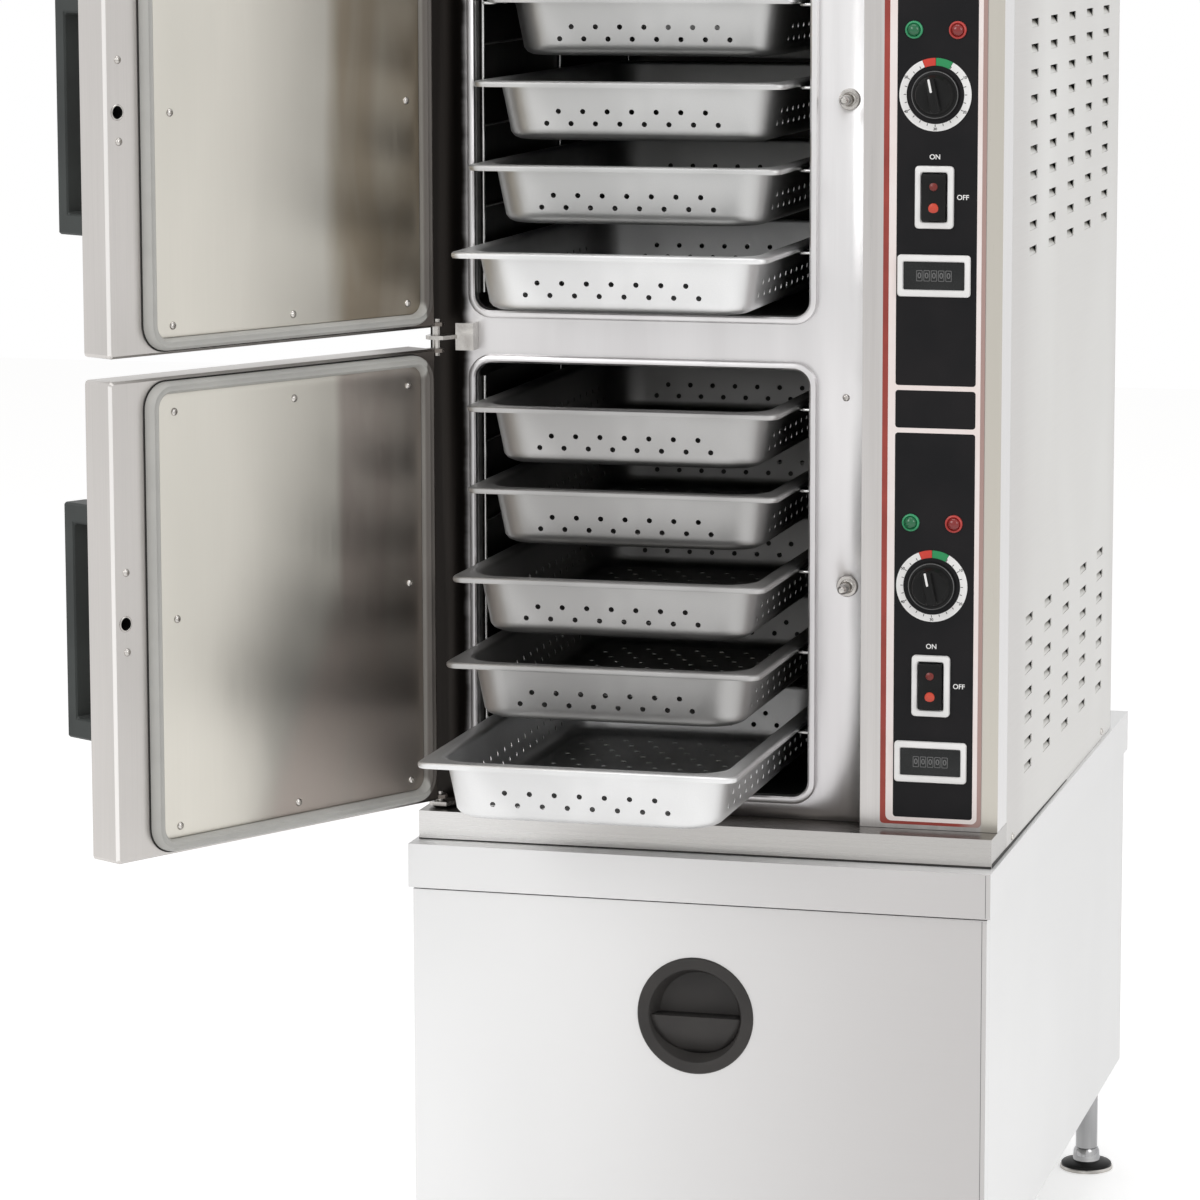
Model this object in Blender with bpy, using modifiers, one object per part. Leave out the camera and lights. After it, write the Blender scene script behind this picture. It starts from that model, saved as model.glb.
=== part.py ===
"""Two-compartment electric convection steamer on a cabinet base.

Lengths are metres, +Z is up and the front faces -Y. The design frame has its origin on the
floor under the middle of the cabinet's front edge; one empty then moves the whole object so
that the middle of its outer box, with both doors open, stands on the world origin.
"""
import math

import bmesh
import bpy
from mathutils import Matrix, Vector

PARTS = "food_steamer"
TOOLS = "food_steamer_cutters"

# General clearances and sheet
GAP = 0.0003
OVERRUN = 0.004
SHEET = 0.0012
FLANGE = 0.020
CORNER_STEPS = 3
FOLD_STEPS = 2
WELD_DISTANCE = 0.00001

# Gastronorm pans
PAN_WIDTH = 0.325
PAN_LENGTH = 0.530
PAN_DEPTH = 0.060
PAN_SHEET = 0.0009
PAN_RIM = 0.018
PAN_ROLL = 0.006
PAN_RIM_RADIUS = 0.014
PAN_WALL_RADIUS = 0.038
PAN_TAPER = 0.008
PAN_KNUCKLE = 0.012
PAN_CORNER_STEPS = 2
PAN_HOLE_DIAMETER = 0.0056
PAN_HOLE_PITCH = 0.0255
PAN_HOLE_ROW_DROP = 0.031
PAN_HOLE_ROW_PITCH = 0.0125
PAN_HOLE_SIDES = 4
PAN_HOLE_COUNTS = (7, 8)
PANS_PER_COMPARTMENT = 5
PAN_PITCH = 0.0835

# Compartments, sized round the pans
PAN_SIDE_ROOM = 0.013
PAN_FLOOR_ROOM = 0.011
PAN_HEAD_ROOM = 0.034
PAN_FRONT_ROOM = 0.075
PAN_BACK_ROOM = 0.010
FAN_ROOM = 0.050
OPENING_WIDTH = PAN_WIDTH + 2 * PAN_SIDE_ROOM
PAN_STACK = (PANS_PER_COMPARTMENT - 1) * PAN_PITCH + PAN_DEPTH
OPENING_HEIGHT = PAN_STACK + PAN_FLOOR_ROOM + PAN_HEAD_ROOM
OPENING_RADIUS = 0.016
LIP_WIDTH = 0.0085
LIP_PROUD = 0.009
BRIDGE_HEIGHT = 0.055
COMPARTMENT_PITCH = OPENING_HEIGHT + BRIDGE_HEIGHT

# Shell
HINGE_JAMB = 0.051
LATCH_JAMB = 0.058
COLUMN_WIDTH = 0.142
SHELL_WIDTH = HINGE_JAMB + OPENING_WIDTH + LATCH_JAMB + COLUMN_WIDTH
LEDGE_SETBACK = 0.026
LEDGE_HEIGHT = 0.030
COLUMN_SETBACK = 0.060
FASCIA_SETBACK = 0.080
FASCIA_OVERLAP = 0.016
SIDE_SEAM = 0.034
SILL_HEIGHT = 0.025
HEAD_HEIGHT = 0.048
TOP_EDGE = 0.015
REAR_BAY = 0.073
CAVITY_DEPTH = PAN_FRONT_ROOM + PAN_LENGTH + PAN_BACK_ROOM + FAN_ROOM
SHELL_BACK = FASCIA_SETBACK + CAVITY_DEPTH + REAR_BAY
SHELL_HEIGHT = LEDGE_HEIGHT + SILL_HEIGHT + COMPARTMENT_PITCH + OPENING_HEIGHT + HEAD_HEIGHT
CAVITY_FLANGE = 0.012

# Cabinet base
LEG_HEIGHT = 0.127
BASE_HEIGHT = 0.426
BAND_PROUD = 0.004
BAND_HEIGHT = 0.046
REAR_SHELF = 0.114
BASE_DEPTH = SHELL_BACK + REAR_SHELF
DECK = LEG_HEIGHT + BASE_HEIGHT
PANEL_FOLD = 0.018
PANEL_REVEAL = 0.002
PULL_DROP = 0.1165
PULL_DIAMETER = 0.122
PULL_HOLE_DIAMETER = 0.106
PULL_DISH_DIAMETER = 0.084
PULL_DISH_DEPTH = 0.020
PULL_WALL = 0.002
PULL_PROUD = 0.003
PULL_PLAY = 0.001
PULL_BAR_HEIGHT = 0.014
PULL_BAR_DEPTH = 0.008
LEG_SIDE_INSET = 0.037
LEG_END_INSET = 0.042
LEG_DIAMETER = 0.026
LEG_PLATE_DIAMETER = 0.056
LEG_PLATE = 0.004
FOOT_HEIGHT = 0.026
FOOT_DIAMETER = 0.064
FOOT_RIM = 0.007
FOOT_NECK_DIAMETER = 0.028

# Doors
DOOR_OPEN_ANGLE = math.radians(119)
HINGE_OUTSET = 0.036
HINGE_STANDOFF = 0.028
HINGE_PIN_DIAMETER = 0.008
HINGE_PLAY = 0.0006
PIN_SIDES = 10
LUG_DIAMETER = 0.016
LUG_THICKNESS = 0.004
LUG_REACH = 0.030
DOOR_HINGE_EDGE = 0.008
DOOR_LATCH_GAP = 0.003
DOOR_OVERLAP = 0.0165
DOOR_THICKNESS = 0.0395
DOOR_CORNER_RADIUS = 0.004
DOOR_FOLD = 0.0025
GASKET_WIDTH = 0.016
GASKET_PROUD = 0.0115
GASKET_CROWN = 0.003
GASKET_HINGE_SHIFT = 0.0045
SEAL_GAP = 0.0005
WINDOW_MARGIN = 0.002
LINER_PROUD = 0.0015
DOOR_INNER = HINGE_STANDOFF - LIP_PROUD - SEAL_GAP - GASKET_PROUD
DOOR_OUTER = DOOR_INNER - DOOR_THICKNESS
HANDLE_WIDTH = 0.028
HANDLE_THICKNESS = 0.014
HANDLE_FINGER_ROOM = 0.024
HANDLE_LENGTH = 0.233
HANDLE_POST = 0.020
HANDLE_EDGE = 0.004
HANDLE_DROP = 0.003
HANDLE_SOFTENING = 0.002
LATCH_EDGE = 0.015
LATCH_HOLE_DIAMETER = 0.013
STRIKE_DIAMETER = 0.010
STRIKE_BASE_DIAMETER = 0.022
STRIKE_BASE = 0.004
STRIKE_ENTRY = 0.012
BRACKET_BLOCK_WIDTH = 0.019
BRACKET_BLOCK_HEIGHT = 0.028
BRACKET_ARM = 0.004
BRACKET_ARM_WIDTH = 0.020
BRACKET_CLEARANCE = 0.0015
PIN_ENTRY = 0.008

# Control panel
PANEL_WIDTH = 0.104
PANEL_SIDE_MARGIN = 0.017
PANEL_END_MARGIN = 0.005
PANEL_TOP_MARGIN = 0.016
PANEL_THICKNESS = 0.0012
PANEL_CORNER_RADIUS = 0.010
LAMP_DIAMETER = 0.018
LAMP_PROUD = 0.006
LAMP_SPACING = 0.044
LAMP_RISE = 0.290
DIAL_RISE = 0.226
DIAL_DIAMETER = 0.077
DIAL_THICKNESS = 0.0008
KNOB_DIAMETER = 0.0485
KNOB_HEIGHT = 0.022
KNOB_SKIRT = 0.004
KNOB_TOP_DIAMETER = 0.038
KNOB_GRIP_WIDTH = 0.010
SWITCH_RISE = 0.124
SWITCH_WIDTH = 0.039
SWITCH_HEIGHT = 0.0625
SWITCH_PROUD = 0.005
SWITCH_FLOOR = 0.001
SWITCH_WINDOW_WIDTH = 0.0255
SWITCH_WINDOW_HEIGHT = 0.0485
ROCKER_PLAY = 0.0006
ROCKER_LIFT = 0.003
ROCKER_PROUD = 0.009
ROCKER_HOLLOW = 0.002
BEZEL_RADIUS = 0.0015
COUNTER_RISE = 0.0455
COUNTER_WIDTH = 0.074
COUNTER_HEIGHT = 0.042
COUNTER_PROUD = 0.004
COUNTER_RECESS = 0.0025
COUNTER_WINDOW_WIDTH = 0.062
COUNTER_WINDOW_HEIGHT = 0.028

# Inside the compartments
WIRE_DIAMETER = 0.004
RACK_FRONT_ROOM = 0.016
RACK_END_ROOM = 0.006
GUARD_MARGIN = 0.020
GUARD_SLOT_WIDTH = 0.110
GUARD_SLOT_HEIGHT = 0.009
GUARD_SLOT_PITCH = 0.020
GUARD_SLOTS = 7
GUARD_POST_DIAMETER = 0.008
GUARD_POST_INSET = 0.015
WHEEL_DIAMETER = 0.170
WHEEL_DISC = 0.002
WHEEL_WALL_ROOM = 0.007
WHEEL_BLADES = 8
BLADE_LENGTH = 0.030
BLADE_DEPTH = 0.022
BLADE_THICKNESS = 0.002
HUB_DIAMETER = 0.028
SHAFT_DIAMETER = 0.010
SHAFT_HOLE_DIAMETER = 0.014
MOTOR_DIAMETER = 0.084
MOTOR_FLANGE_DIAMETER = 0.100
MOTOR_FLANGE = 0.006
MOTOR_LENGTH = 0.066
GENERATOR_WIDTH = 0.150
GENERATOR_DEPTH = 0.320
GENERATOR_HEIGHT = 0.240
GENERATOR_RISE = 0.060
GENERATOR_SETBACK = 0.220
GENERATOR_SOFTENING = 0.008

# Louvres in the right side
LOUVRE_WIDTH = 0.045
LOUVRE_HEIGHT = 0.009
LOUVRE_COLUMN_PITCH = 0.120
LOUVRE_FIRST_COLUMN = 0.160
LOUVRE_REAR_MARGIN = 0.060
LOUVRE_ROW_PITCH = 0.026
LOUVRE_LOWER_FOOT = 0.066
LOUVRE_LOWER_ROWS = 7
LOUVRE_UPPER_FOOT = 0.607
LOUVRE_UPPER_ROWS = 10
LOUVRE_FIELDS = ((LOUVRE_LOWER_FOOT, LOUVRE_LOWER_ROWS), (LOUVRE_UPPER_FOOT, LOUVRE_UPPER_ROWS))

# Pans as they stand: distance from the fascia plane to each rim front, bottom pan first
PAN_PULLS = {
    "lower": (-0.273, -0.173, -0.149, -0.094, -0.096),
    "upper": (-0.147, -0.085, -0.065, -0.015),
}
COMPARTMENTS = ("lower", "upper")

# Places worked out from the sizes
SHELL_LEFT = -SHELL_WIDTH / 2
SHELL_RIGHT = SHELL_WIDTH / 2
OPENING_LEFT = SHELL_LEFT + HINGE_JAMB
OPENING_RIGHT = OPENING_LEFT + OPENING_WIDTH
OPENING_MIDDLE = OPENING_LEFT + OPENING_WIDTH / 2
COLUMN_LEFT = SHELL_RIGHT - COLUMN_WIDTH
SHELL_TOP = DECK + SHELL_HEIGHT
WALL_TOP = SHELL_TOP - TOP_EDGE - GAP
CAVITY_FRONT = FASCIA_SETBACK + SHEET + GAP
CAVITY_BACK = FASCIA_SETBACK + CAVITY_DEPTH
SEAM_PLANE = FASCIA_SETBACK + SIDE_SEAM
LOUVRE_FIELD_DEPTH = CAVITY_DEPTH + REAR_BAY - LOUVRE_FIRST_COLUMN - LOUVRE_REAR_MARGIN
LOUVRE_COLUMNS = 1 + int(LOUVRE_FIELD_DEPTH / LOUVRE_COLUMN_PITCH)
HINGE_X = OPENING_LEFT - HINGE_OUTSET
HINGE_Y = FASCIA_SETBACK - HINGE_STANDOFF
DOOR_FREE_EDGE = COLUMN_LEFT - DOOR_LATCH_GAP - HINGE_X
DOOR_BOTTOM = -DOOR_OVERLAP
DOOR_TOP = OPENING_HEIGHT + DOOR_OVERLAP
DOOR_MIDDLE = OPENING_HEIGHT / 2
STRIKE_X = COLUMN_LEFT - DOOR_LATCH_GAP - LATCH_EDGE
PANEL_FACE = COLUMN_SETBACK - GAP - PANEL_THICKNESS
PANEL_MIDDLE = SHELL_RIGHT - PANEL_SIDE_MARGIN - PANEL_WIDTH / 2

FACING_FRONT = (math.radians(90), 0, 0)
FACING_SIDE = (math.radians(90), 0, math.radians(90))
ON_EDGE = (math.radians(180), math.radians(-90), 0)
UPRIGHT = (0, 0, 0)
SMOOTH_ANGLE = math.radians(40)
FACE_MATCH = 0.5

STEEL = ((0.74, 0.74, 0.72), 0.30, 1.0)
DULL_STEEL = ((0.52, 0.52, 0.51), 0.42, 1.0)
WHITE_STEEL = ((0.86, 0.86, 0.85), 0.40, 0.6)
BLACK_PLASTIC = ((0.025, 0.025, 0.027), 0.45, 0.0)
DARK_RUBBER = ((0.30, 0.33, 0.36), 0.70, 0.0)
PANEL_INK = ((0.03, 0.03, 0.035), 0.35, 0.0)
WHITE_INK = ((0.85, 0.85, 0.85), 0.40, 0.0)
GREEN_LENS = ((0.05, 0.65, 0.12), 0.15, 0.0)
RED_LENS = ((0.80, 0.05, 0.03), 0.15, 0.0)
PAINTED_MOTOR = ((0.10, 0.11, 0.12), 0.50, 0.2)


def sill(compartment):
    """Height of a compartment's opening above the floor."""
    level = COMPARTMENTS.index(compartment)
    return DECK + LEDGE_HEIGHT + SILL_HEIGHT + level * COMPARTMENT_PITCH


def open_door_point(along, outward):
    """Plan position of a point of an open door, from its place along and across the door."""
    cosine = math.cos(DOOR_OPEN_ANGLE)
    sine = math.sin(DOOR_OPEN_ANGLE)
    x = HINGE_X + along * cosine + outward * sine
    y = HINGE_Y - along * sine + outward * cosine
    return x, y


def frame_shift():
    """Vector that brings the middle of the outer box's base to the world origin."""
    handle_face = DOOR_OUTER - GAP - HANDLE_FINGER_ROOM - HANDLE_THICKNESS
    handle_side = DOOR_FREE_EDGE - HANDLE_EDGE
    left = open_door_point(handle_side - HANDLE_SOFTENING, handle_face)[0]
    right = SHELL_RIGHT + BAND_PROUD
    corner = open_door_point(DOOR_FREE_EDGE, DOOR_INNER - DOOR_FOLD)[1]
    back = BASE_DEPTH
    return Vector((-(left + right) / 2, -(corner + back) / 2, 0))


def remove_everything():
    """Empty the scene and make the two collections."""
    for item in list(bpy.data.objects):
        bpy.data.objects.remove(item)
    for title in (PARTS, TOOLS):
        group = bpy.data.collections.new(title)
        bpy.context.scene.collection.children.link(group)


def place(name, mesh, parent, location=(0, 0, 0), rotation=UPRIGHT, group=PARTS):
    """Put a mesh into the scene under a parent empty."""
    item = bpy.data.objects.new(name, mesh)
    bpy.data.collections[group].objects.link(item)
    item.parent = parent
    item.location = location
    item.rotation_euler = rotation
    return item


def place_tool(name, mesh, parent, location=(0, 0, 0), rotation=UPRIGHT):
    """Put a cutter or a shape to be joined into the cutters' collection."""
    item = place(name, mesh, parent, location, rotation, TOOLS)
    item.hide_render = True
    item.display_type = 'WIRE'
    return item


def axis_empty(name, parent, location, rotation=UPRIGHT):
    """Empty that stands on a joint's axis."""
    item = bpy.data.objects.new(name, None)
    bpy.data.collections[PARTS].objects.link(item)
    item.parent = parent
    item.location = location
    item.rotation_euler = rotation
    return item


def paint(item, look):
    """Give an object its own Principled material."""
    colour, roughness, metallic = look
    material = bpy.data.materials.new(item.name)
    material.use_nodes = True
    shader = material.node_tree.nodes["Principled BSDF"]
    shader.inputs["Base Color"].default_value = (*colour, 1)
    shader.inputs["Roughness"].default_value = roughness
    shader.inputs["Metallic"].default_value = metallic
    item.data.materials.clear()
    item.data.materials.append(material)


def smooth(mesh):
    """Shade a round piece smooth, with its edges kept sharp."""
    mesh.shade_smooth()
    mesh.set_sharp_from_angle(angle=SMOOTH_ANGLE)


def thicken(item, sheet, side=-1):
    """Give an open surface its sheet, behind its faces unless told otherwise."""
    shell = item.modifiers.new("Sheet", 'SOLIDIFY')
    shell.thickness = sheet
    shell.offset = side
    shell.use_even_offset = True


def soften(item, width):
    """Break the sharp edges with one narrow bevel."""
    bevel = item.modifiers.new("Edges", 'BEVEL')
    bevel.width = width
    bevel.segments = 1
    bevel.limit_method = 'ANGLE'


def combine(item, tool, operation):
    """Cut an object with a tool, or join the tool to it."""
    boolean = item.modifiers.new(tool.name, 'BOOLEAN')
    boolean.operation = operation
    boolean.solver = 'EXACT'
    boolean.object = tool


def finished_mesh(name, item):
    """Mesh of an object with its modifiers applied; the object and its tools go."""
    bpy.context.view_layer.update()
    depsgraph = bpy.context.evaluated_depsgraph_get()
    mesh = bpy.data.meshes.new_from_object(item.evaluated_get(depsgraph))
    mesh.name = name
    for modifier in item.modifiers:
        if modifier.type == 'BOOLEAN':
            bpy.data.objects.remove(modifier.object)
    bpy.data.objects.remove(item)
    return mesh


def tidy_mesh(mesh):
    """Weld a closed mesh and turn its faces outward."""
    shape = bmesh.new()
    shape.from_mesh(mesh)
    bmesh.ops.remove_doubles(shape, verts=shape.verts, dist=WELD_DISTANCE)
    bmesh.ops.recalc_face_normals(shape, faces=shape.faces)
    shape.to_mesh(mesh)
    shape.free()
    return mesh


def to_mesh(name, shape):
    """Turn a bmesh into a mesh."""
    mesh = bpy.data.meshes.new(name)
    shape.to_mesh(mesh)
    shape.free()
    return mesh


def box_shape(low, high):
    """Bmesh box between two corners."""
    low = Vector(low)
    high = Vector(high)
    fit = Matrix.Translation((low + high) / 2) @ Matrix.Diagonal((*(high - low), 1))
    shape = bmesh.new()
    bmesh.ops.create_cube(shape, size=1, matrix=fit)
    return shape


def box_mesh(name, low, high):
    """Plain box between two corners."""
    return to_mesh(name, box_shape(low, high))


def rod_mesh(name, radius, length, sides):
    """Cylinder along Z about the origin."""
    shape = bmesh.new()
    bmesh.ops.create_cone(shape, cap_ends=True, segments=sides, radius1=radius,
                          radius2=radius, depth=length)
    return to_mesh(name, shape)


def folded_box(name, low, high, kept, parent, sheet=SHEET):
    """Sheet-metal box with only the named sides."""
    sides = {"left": (-1, 0, 0), "right": (1, 0, 0), "front": (0, -1, 0),
             "back": (0, 1, 0), "bottom": (0, 0, -1), "top": (0, 0, 1)}
    shape = box_shape(low, high)
    shape.normal_update()
    open_sides = [face for face in shape.faces
                  if not any(face.normal.dot(Vector(sides[side])) > FACE_MATCH for side in kept)]
    bmesh.ops.delete(shape, geom=open_sides, context='FACES')
    item = place(name, to_mesh(name, shape), parent)
    thicken(item, sheet)
    return item


def rectangle(width, height, centre=(0, 0)):
    """Corners of a rectangle, counter-clockwise."""
    x, y = centre
    half_width = width / 2
    half_height = height / 2
    return [(x - half_width, y - half_height), (x + half_width, y - half_height),
            (x + half_width, y + half_height), (x - half_width, y + half_height)]


def rounded(width, height, radius, steps=CORNER_STEPS, centre=(0, 0)):
    """Outline of a rectangle with round corners, counter-clockwise."""
    points = []
    quarter_turn = math.radians(90)
    for corner, (side_x, side_y) in enumerate(((1, 1), (-1, 1), (-1, -1), (1, -1))):
        corner_x = centre[0] + side_x * (width / 2 - radius)
        corner_y = centre[1] + side_y * (height / 2 - radius)
        for step in range(steps + 1):
            turn = quarter_turn * (corner + step / steps)
            points.append((corner_x + radius * math.cos(turn),
                           corner_y + radius * math.sin(turn)))
    return points


def circle(radius, sides, centre=(0, 0)):
    """Points of a circle, counter-clockwise."""
    full_turn = math.radians(360)
    return [(centre[0] + radius * math.cos(full_turn * side / sides),
             centre[1] + radius * math.sin(full_turn * side / sides)) for side in range(sides)]


def outline_mesh(name, outlines, thickness):
    """Flat plate of an outline with holes, centred on its own plane."""
    curve = bpy.data.curves.new(name, 'CURVE')
    curve.dimensions = '2D'
    curve.fill_mode = 'BOTH'
    curve.extrude = thickness / 2
    for outline in outlines:
        spline = curve.splines.new('POLY')
        spline.points.add(len(outline) - 1)
        for point, (x, y) in zip(spline.points, outline):
            point.co = (x, y, 0, 1)
        spline.use_cyclic_u = True
    holder = bpy.data.objects.new(name, curve)
    bpy.context.scene.collection.objects.link(holder)
    return tidy_mesh(finished_mesh(name, holder))


def wire_mesh(name, points, diameter):
    """Four-sided wire along straight runs, with filled ends."""
    curve = bpy.data.curves.new(name, 'CURVE')
    curve.dimensions = '3D'
    curve.bevel_depth = diameter / 2
    curve.bevel_resolution = 0
    curve.use_fill_caps = True
    spline = curve.splines.new('POLY')
    spline.points.add(len(points) - 1)
    for point, place_on_wire in zip(spline.points, points):
        point.co = (*place_on_wire, 1)
    holder = bpy.data.objects.new(name, curve)
    bpy.context.scene.collection.objects.link(holder)
    return tidy_mesh(finished_mesh(name, holder))


def turned_mesh(name, profile, steps, ring=False):
    """Body turned about Z from its profile of radius and height, given top to bottom."""
    edges = [(index, index + 1) for index in range(len(profile) - 1)]
    if ring:
        edges.append((len(profile) - 1, 0))
    mesh = bpy.data.meshes.new(name)
    mesh.from_pydata([(radius, 0, height) for radius, height in profile], edges, [])
    holder = bpy.data.objects.new(name, mesh)
    bpy.context.scene.collection.objects.link(holder)
    screw = holder.modifiers.new("Turn", 'SCREW')
    screw.steps = steps
    screw.render_steps = steps
    screw.use_merge_vertices = True
    screw.merge_threshold = WELD_DISTANCE
    turned = tidy_mesh(finished_mesh(name, holder))
    smooth(turned)
    return turned


def point_faces(shape, direction):
    """Turn an open surface's faces together so that most of them look along a direction."""
    bmesh.ops.recalc_face_normals(shape, faces=shape.faces)
    agreement = sum(face.normal.dot(direction) * face.calc_area() for face in shape.faces)
    if agreement < 0:
        bmesh.ops.reverse_faces(shape, faces=shape.faces)


def point_faces_out(shape):
    """Turn a surface's faces together so that they look away from its middle."""
    bmesh.ops.recalc_face_normals(shape, faces=shape.faces)
    middle = sum((point.co for point in shape.verts), Vector()) / len(shape.verts)
    agreement = sum(face.normal.dot(face.calc_center_median() - middle) * face.calc_area()
                    for face in shape.faces)
    if agreement < 0:
        bmesh.ops.reverse_faces(shape, faces=shape.faces)


def new_points(extrusion):
    """Points that an extrusion made."""
    return [part for part in extrusion["geom"] if isinstance(part, bmesh.types.BMVert)]


def loop_of_points(shape, outline, height):
    """Points of an outline at one height."""
    return [shape.verts.new((x, y, height)) for x, y in outline]


def loop_edges(shape, loop):
    """Edges round a closed loop of points, made where they are missing."""
    pairs = [(loop[index - 1], loop[index]) for index in range(len(loop))]
    return [shape.edges.get(pair) or shape.edges.new(pair) for pair in pairs]


def bridge(shape, near, far):
    """Band of faces between two loops with the same number of points."""
    for index in range(len(near)):
        shape.faces.new((near[index - 1], near[index], far[index], far[index - 1]))


def loft_mesh(name, sections, caps=("last",), ring=False):
    """Surface through a row of outlines, each at its height."""
    shape = bmesh.new()
    loops = [loop_of_points(shape, outline, height) for outline, height in sections]
    for near, far in zip(loops, loops[1:]):
        bridge(shape, near, far)
    if ring:
        bridge(shape, loops[-1], loops[0])
    if "first" in caps:
        shape.faces.new(loops[0])
    if "last" in caps:
        shape.faces.new(loops[-1])
    point_faces_out(shape)
    return to_mesh(name, shape)


def grouped_mesh(name, pieces):
    """One mesh that holds several separate bodies, each a mesh and its placing."""
    shape = bmesh.new()
    for mesh, placing in pieces:
        moved = mesh.copy()
        moved.transform(placing)
        shape.from_mesh(moved)
    return to_mesh(name, shape)


def shifted(x, y, z):
    """Placing that only moves."""
    return Matrix.Translation((x, y, z))


def turned_to_front(x, y, z):
    """Placing that points a piece's own Z to the front."""
    return shifted(x, y, z) @ Matrix.Rotation(FACING_FRONT[0], 4, 'X')


def pan_mesh():
    """Drawn pan with a rolled rim and a perforated front wall, its rim plane at zero."""
    wall_width = PAN_WIDTH - 2 * PAN_RIM
    wall_length = PAN_LENGTH - 2 * PAN_RIM
    knuckle_drop = PAN_DEPTH - PAN_KNUCKLE
    floor_inset = PAN_TAPER + PAN_KNUCKLE
    rim = rounded(PAN_WIDTH, PAN_LENGTH, PAN_RIM_RADIUS, PAN_CORNER_STEPS)
    mouth = rounded(wall_width, wall_length, PAN_WALL_RADIUS, PAN_CORNER_STEPS)
    knuckle = rounded(wall_width - 2 * PAN_TAPER, wall_length - 2 * PAN_TAPER,
                      PAN_WALL_RADIUS, PAN_CORNER_STEPS)
    floor = rounded(wall_width - 2 * floor_inset, wall_length - 2 * floor_inset,
                    PAN_WALL_RADIUS - PAN_KNUCKLE / 2, PAN_CORNER_STEPS)
    sections = [(rim, -PAN_ROLL), (rim, 0), (mouth, 0), (knuckle, -knuckle_drop),
                (floor, -PAN_DEPTH)]
    blank = place("pan_blank", loft_mesh("pan_blank", sections), None)
    thicken(blank, PAN_SHEET, side=1)
    cutter = place_tool("pan_hole_pins", pan_hole_pins(), None)
    combine(blank, cutter, 'DIFFERENCE')
    return finished_mesh("pan", blank)


def pan_hole_pins():
    """Two staggered rows of pins that pierce the pan's front wall."""
    wall = PAN_LENGTH / 2 - PAN_RIM - PAN_TAPER / 2
    length = PAN_TAPER + 2 * OVERRUN
    pin = rod_mesh("pan_hole_pin", PAN_HOLE_DIAMETER / 2, length, PAN_HOLE_SIDES)
    pins = []
    for row, count in enumerate(PAN_HOLE_COUNTS):
        drop = PAN_HOLE_ROW_DROP + row * PAN_HOLE_ROW_PITCH
        for index in range(count):
            x = (index - (count - 1) / 2) * PAN_HOLE_PITCH
            pins.append((pin, turned_to_front(x, -wall, -drop)))
    return grouped_mesh("pan_hole_pins", pins)


def rim_height(compartment, number):
    """Height of a pan's rim above the floor, counted from the bottom pan."""
    return sill(compartment) + PAN_FLOOR_ROOM + PAN_DEPTH + number * PAN_PITCH


def build_pans(frame):
    """Nine pans, each at the pull at which it stands; the top runner is empty."""
    mesh = pan_mesh()
    for compartment in COMPARTMENTS:
        for number, pull in enumerate(PAN_PULLS[compartment]):
            spot = (OPENING_MIDDLE, FASCIA_SETBACK + pull + PAN_LENGTH / 2,
                    rim_height(compartment, number))
            pan = place(f"{compartment}_pan_{number + 1}", mesh.copy(), frame, spot)
            paint(pan, STEEL)


def build_base(frame):
    """Cabinet base: top frame, sides, back, floor and the lift-off front panel."""
    outer = SHELL_RIGHT + BAND_PROUD
    top = folded_box("base_top_frame", (-outer, 0, DECK - BAND_HEIGHT), (outer, BASE_DEPTH, DECK),
                     ("left", "right", "front", "back", "top"), frame)
    paint(top, WHITE_STEEL)
    side_front = BAND_PROUD + PANEL_FOLD + GAP
    back_plane = BASE_DEPTH - BAND_PROUD
    side_back = back_plane - SHEET - GAP
    side_top = DECK - SHEET - GAP
    width = FLANGE
    left = folded_box("base_side_left", (SHELL_LEFT, side_front, LEG_HEIGHT),
                      (SHELL_LEFT + width, side_back, side_top),
                      ("left", "front", "back", "top"), frame)
    paint(left, WHITE_STEEL)
    right = folded_box("base_side_right", (SHELL_RIGHT - width, side_front, LEG_HEIGHT),
                       (SHELL_RIGHT, side_back, side_top),
                       ("right", "front", "back", "top"), frame)
    paint(right, WHITE_STEEL)
    inner = SHELL_RIGHT - SHEET - GAP
    chassis = folded_box("base_chassis", (-inner, side_front + SHEET + GAP, LEG_HEIGHT),
                         (inner, side_back - SHEET - GAP, LEG_HEIGHT + FLANGE),
                         ("left", "right", "front", "back", "bottom"), frame)
    web_side = inner - FLANGE
    web = place_tool("base_web", box_mesh("base_web", (-web_side, side_back - 2 * SHEET,
                                                       LEG_HEIGHT + SHEET / 2),
                                          (web_side, back_plane - SHEET / 2,
                                           LEG_HEIGHT + FLANGE / 2)), frame)
    back = place_tool("base_back", box_mesh("base_back", (SHELL_LEFT, back_plane - SHEET,
                                                          LEG_HEIGHT + SHEET),
                                            (SHELL_RIGHT, back_plane, side_top)), frame)
    combine(chassis, web, 'UNION')
    combine(chassis, back, 'UNION')
    paint(chassis, DULL_STEEL)


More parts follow.
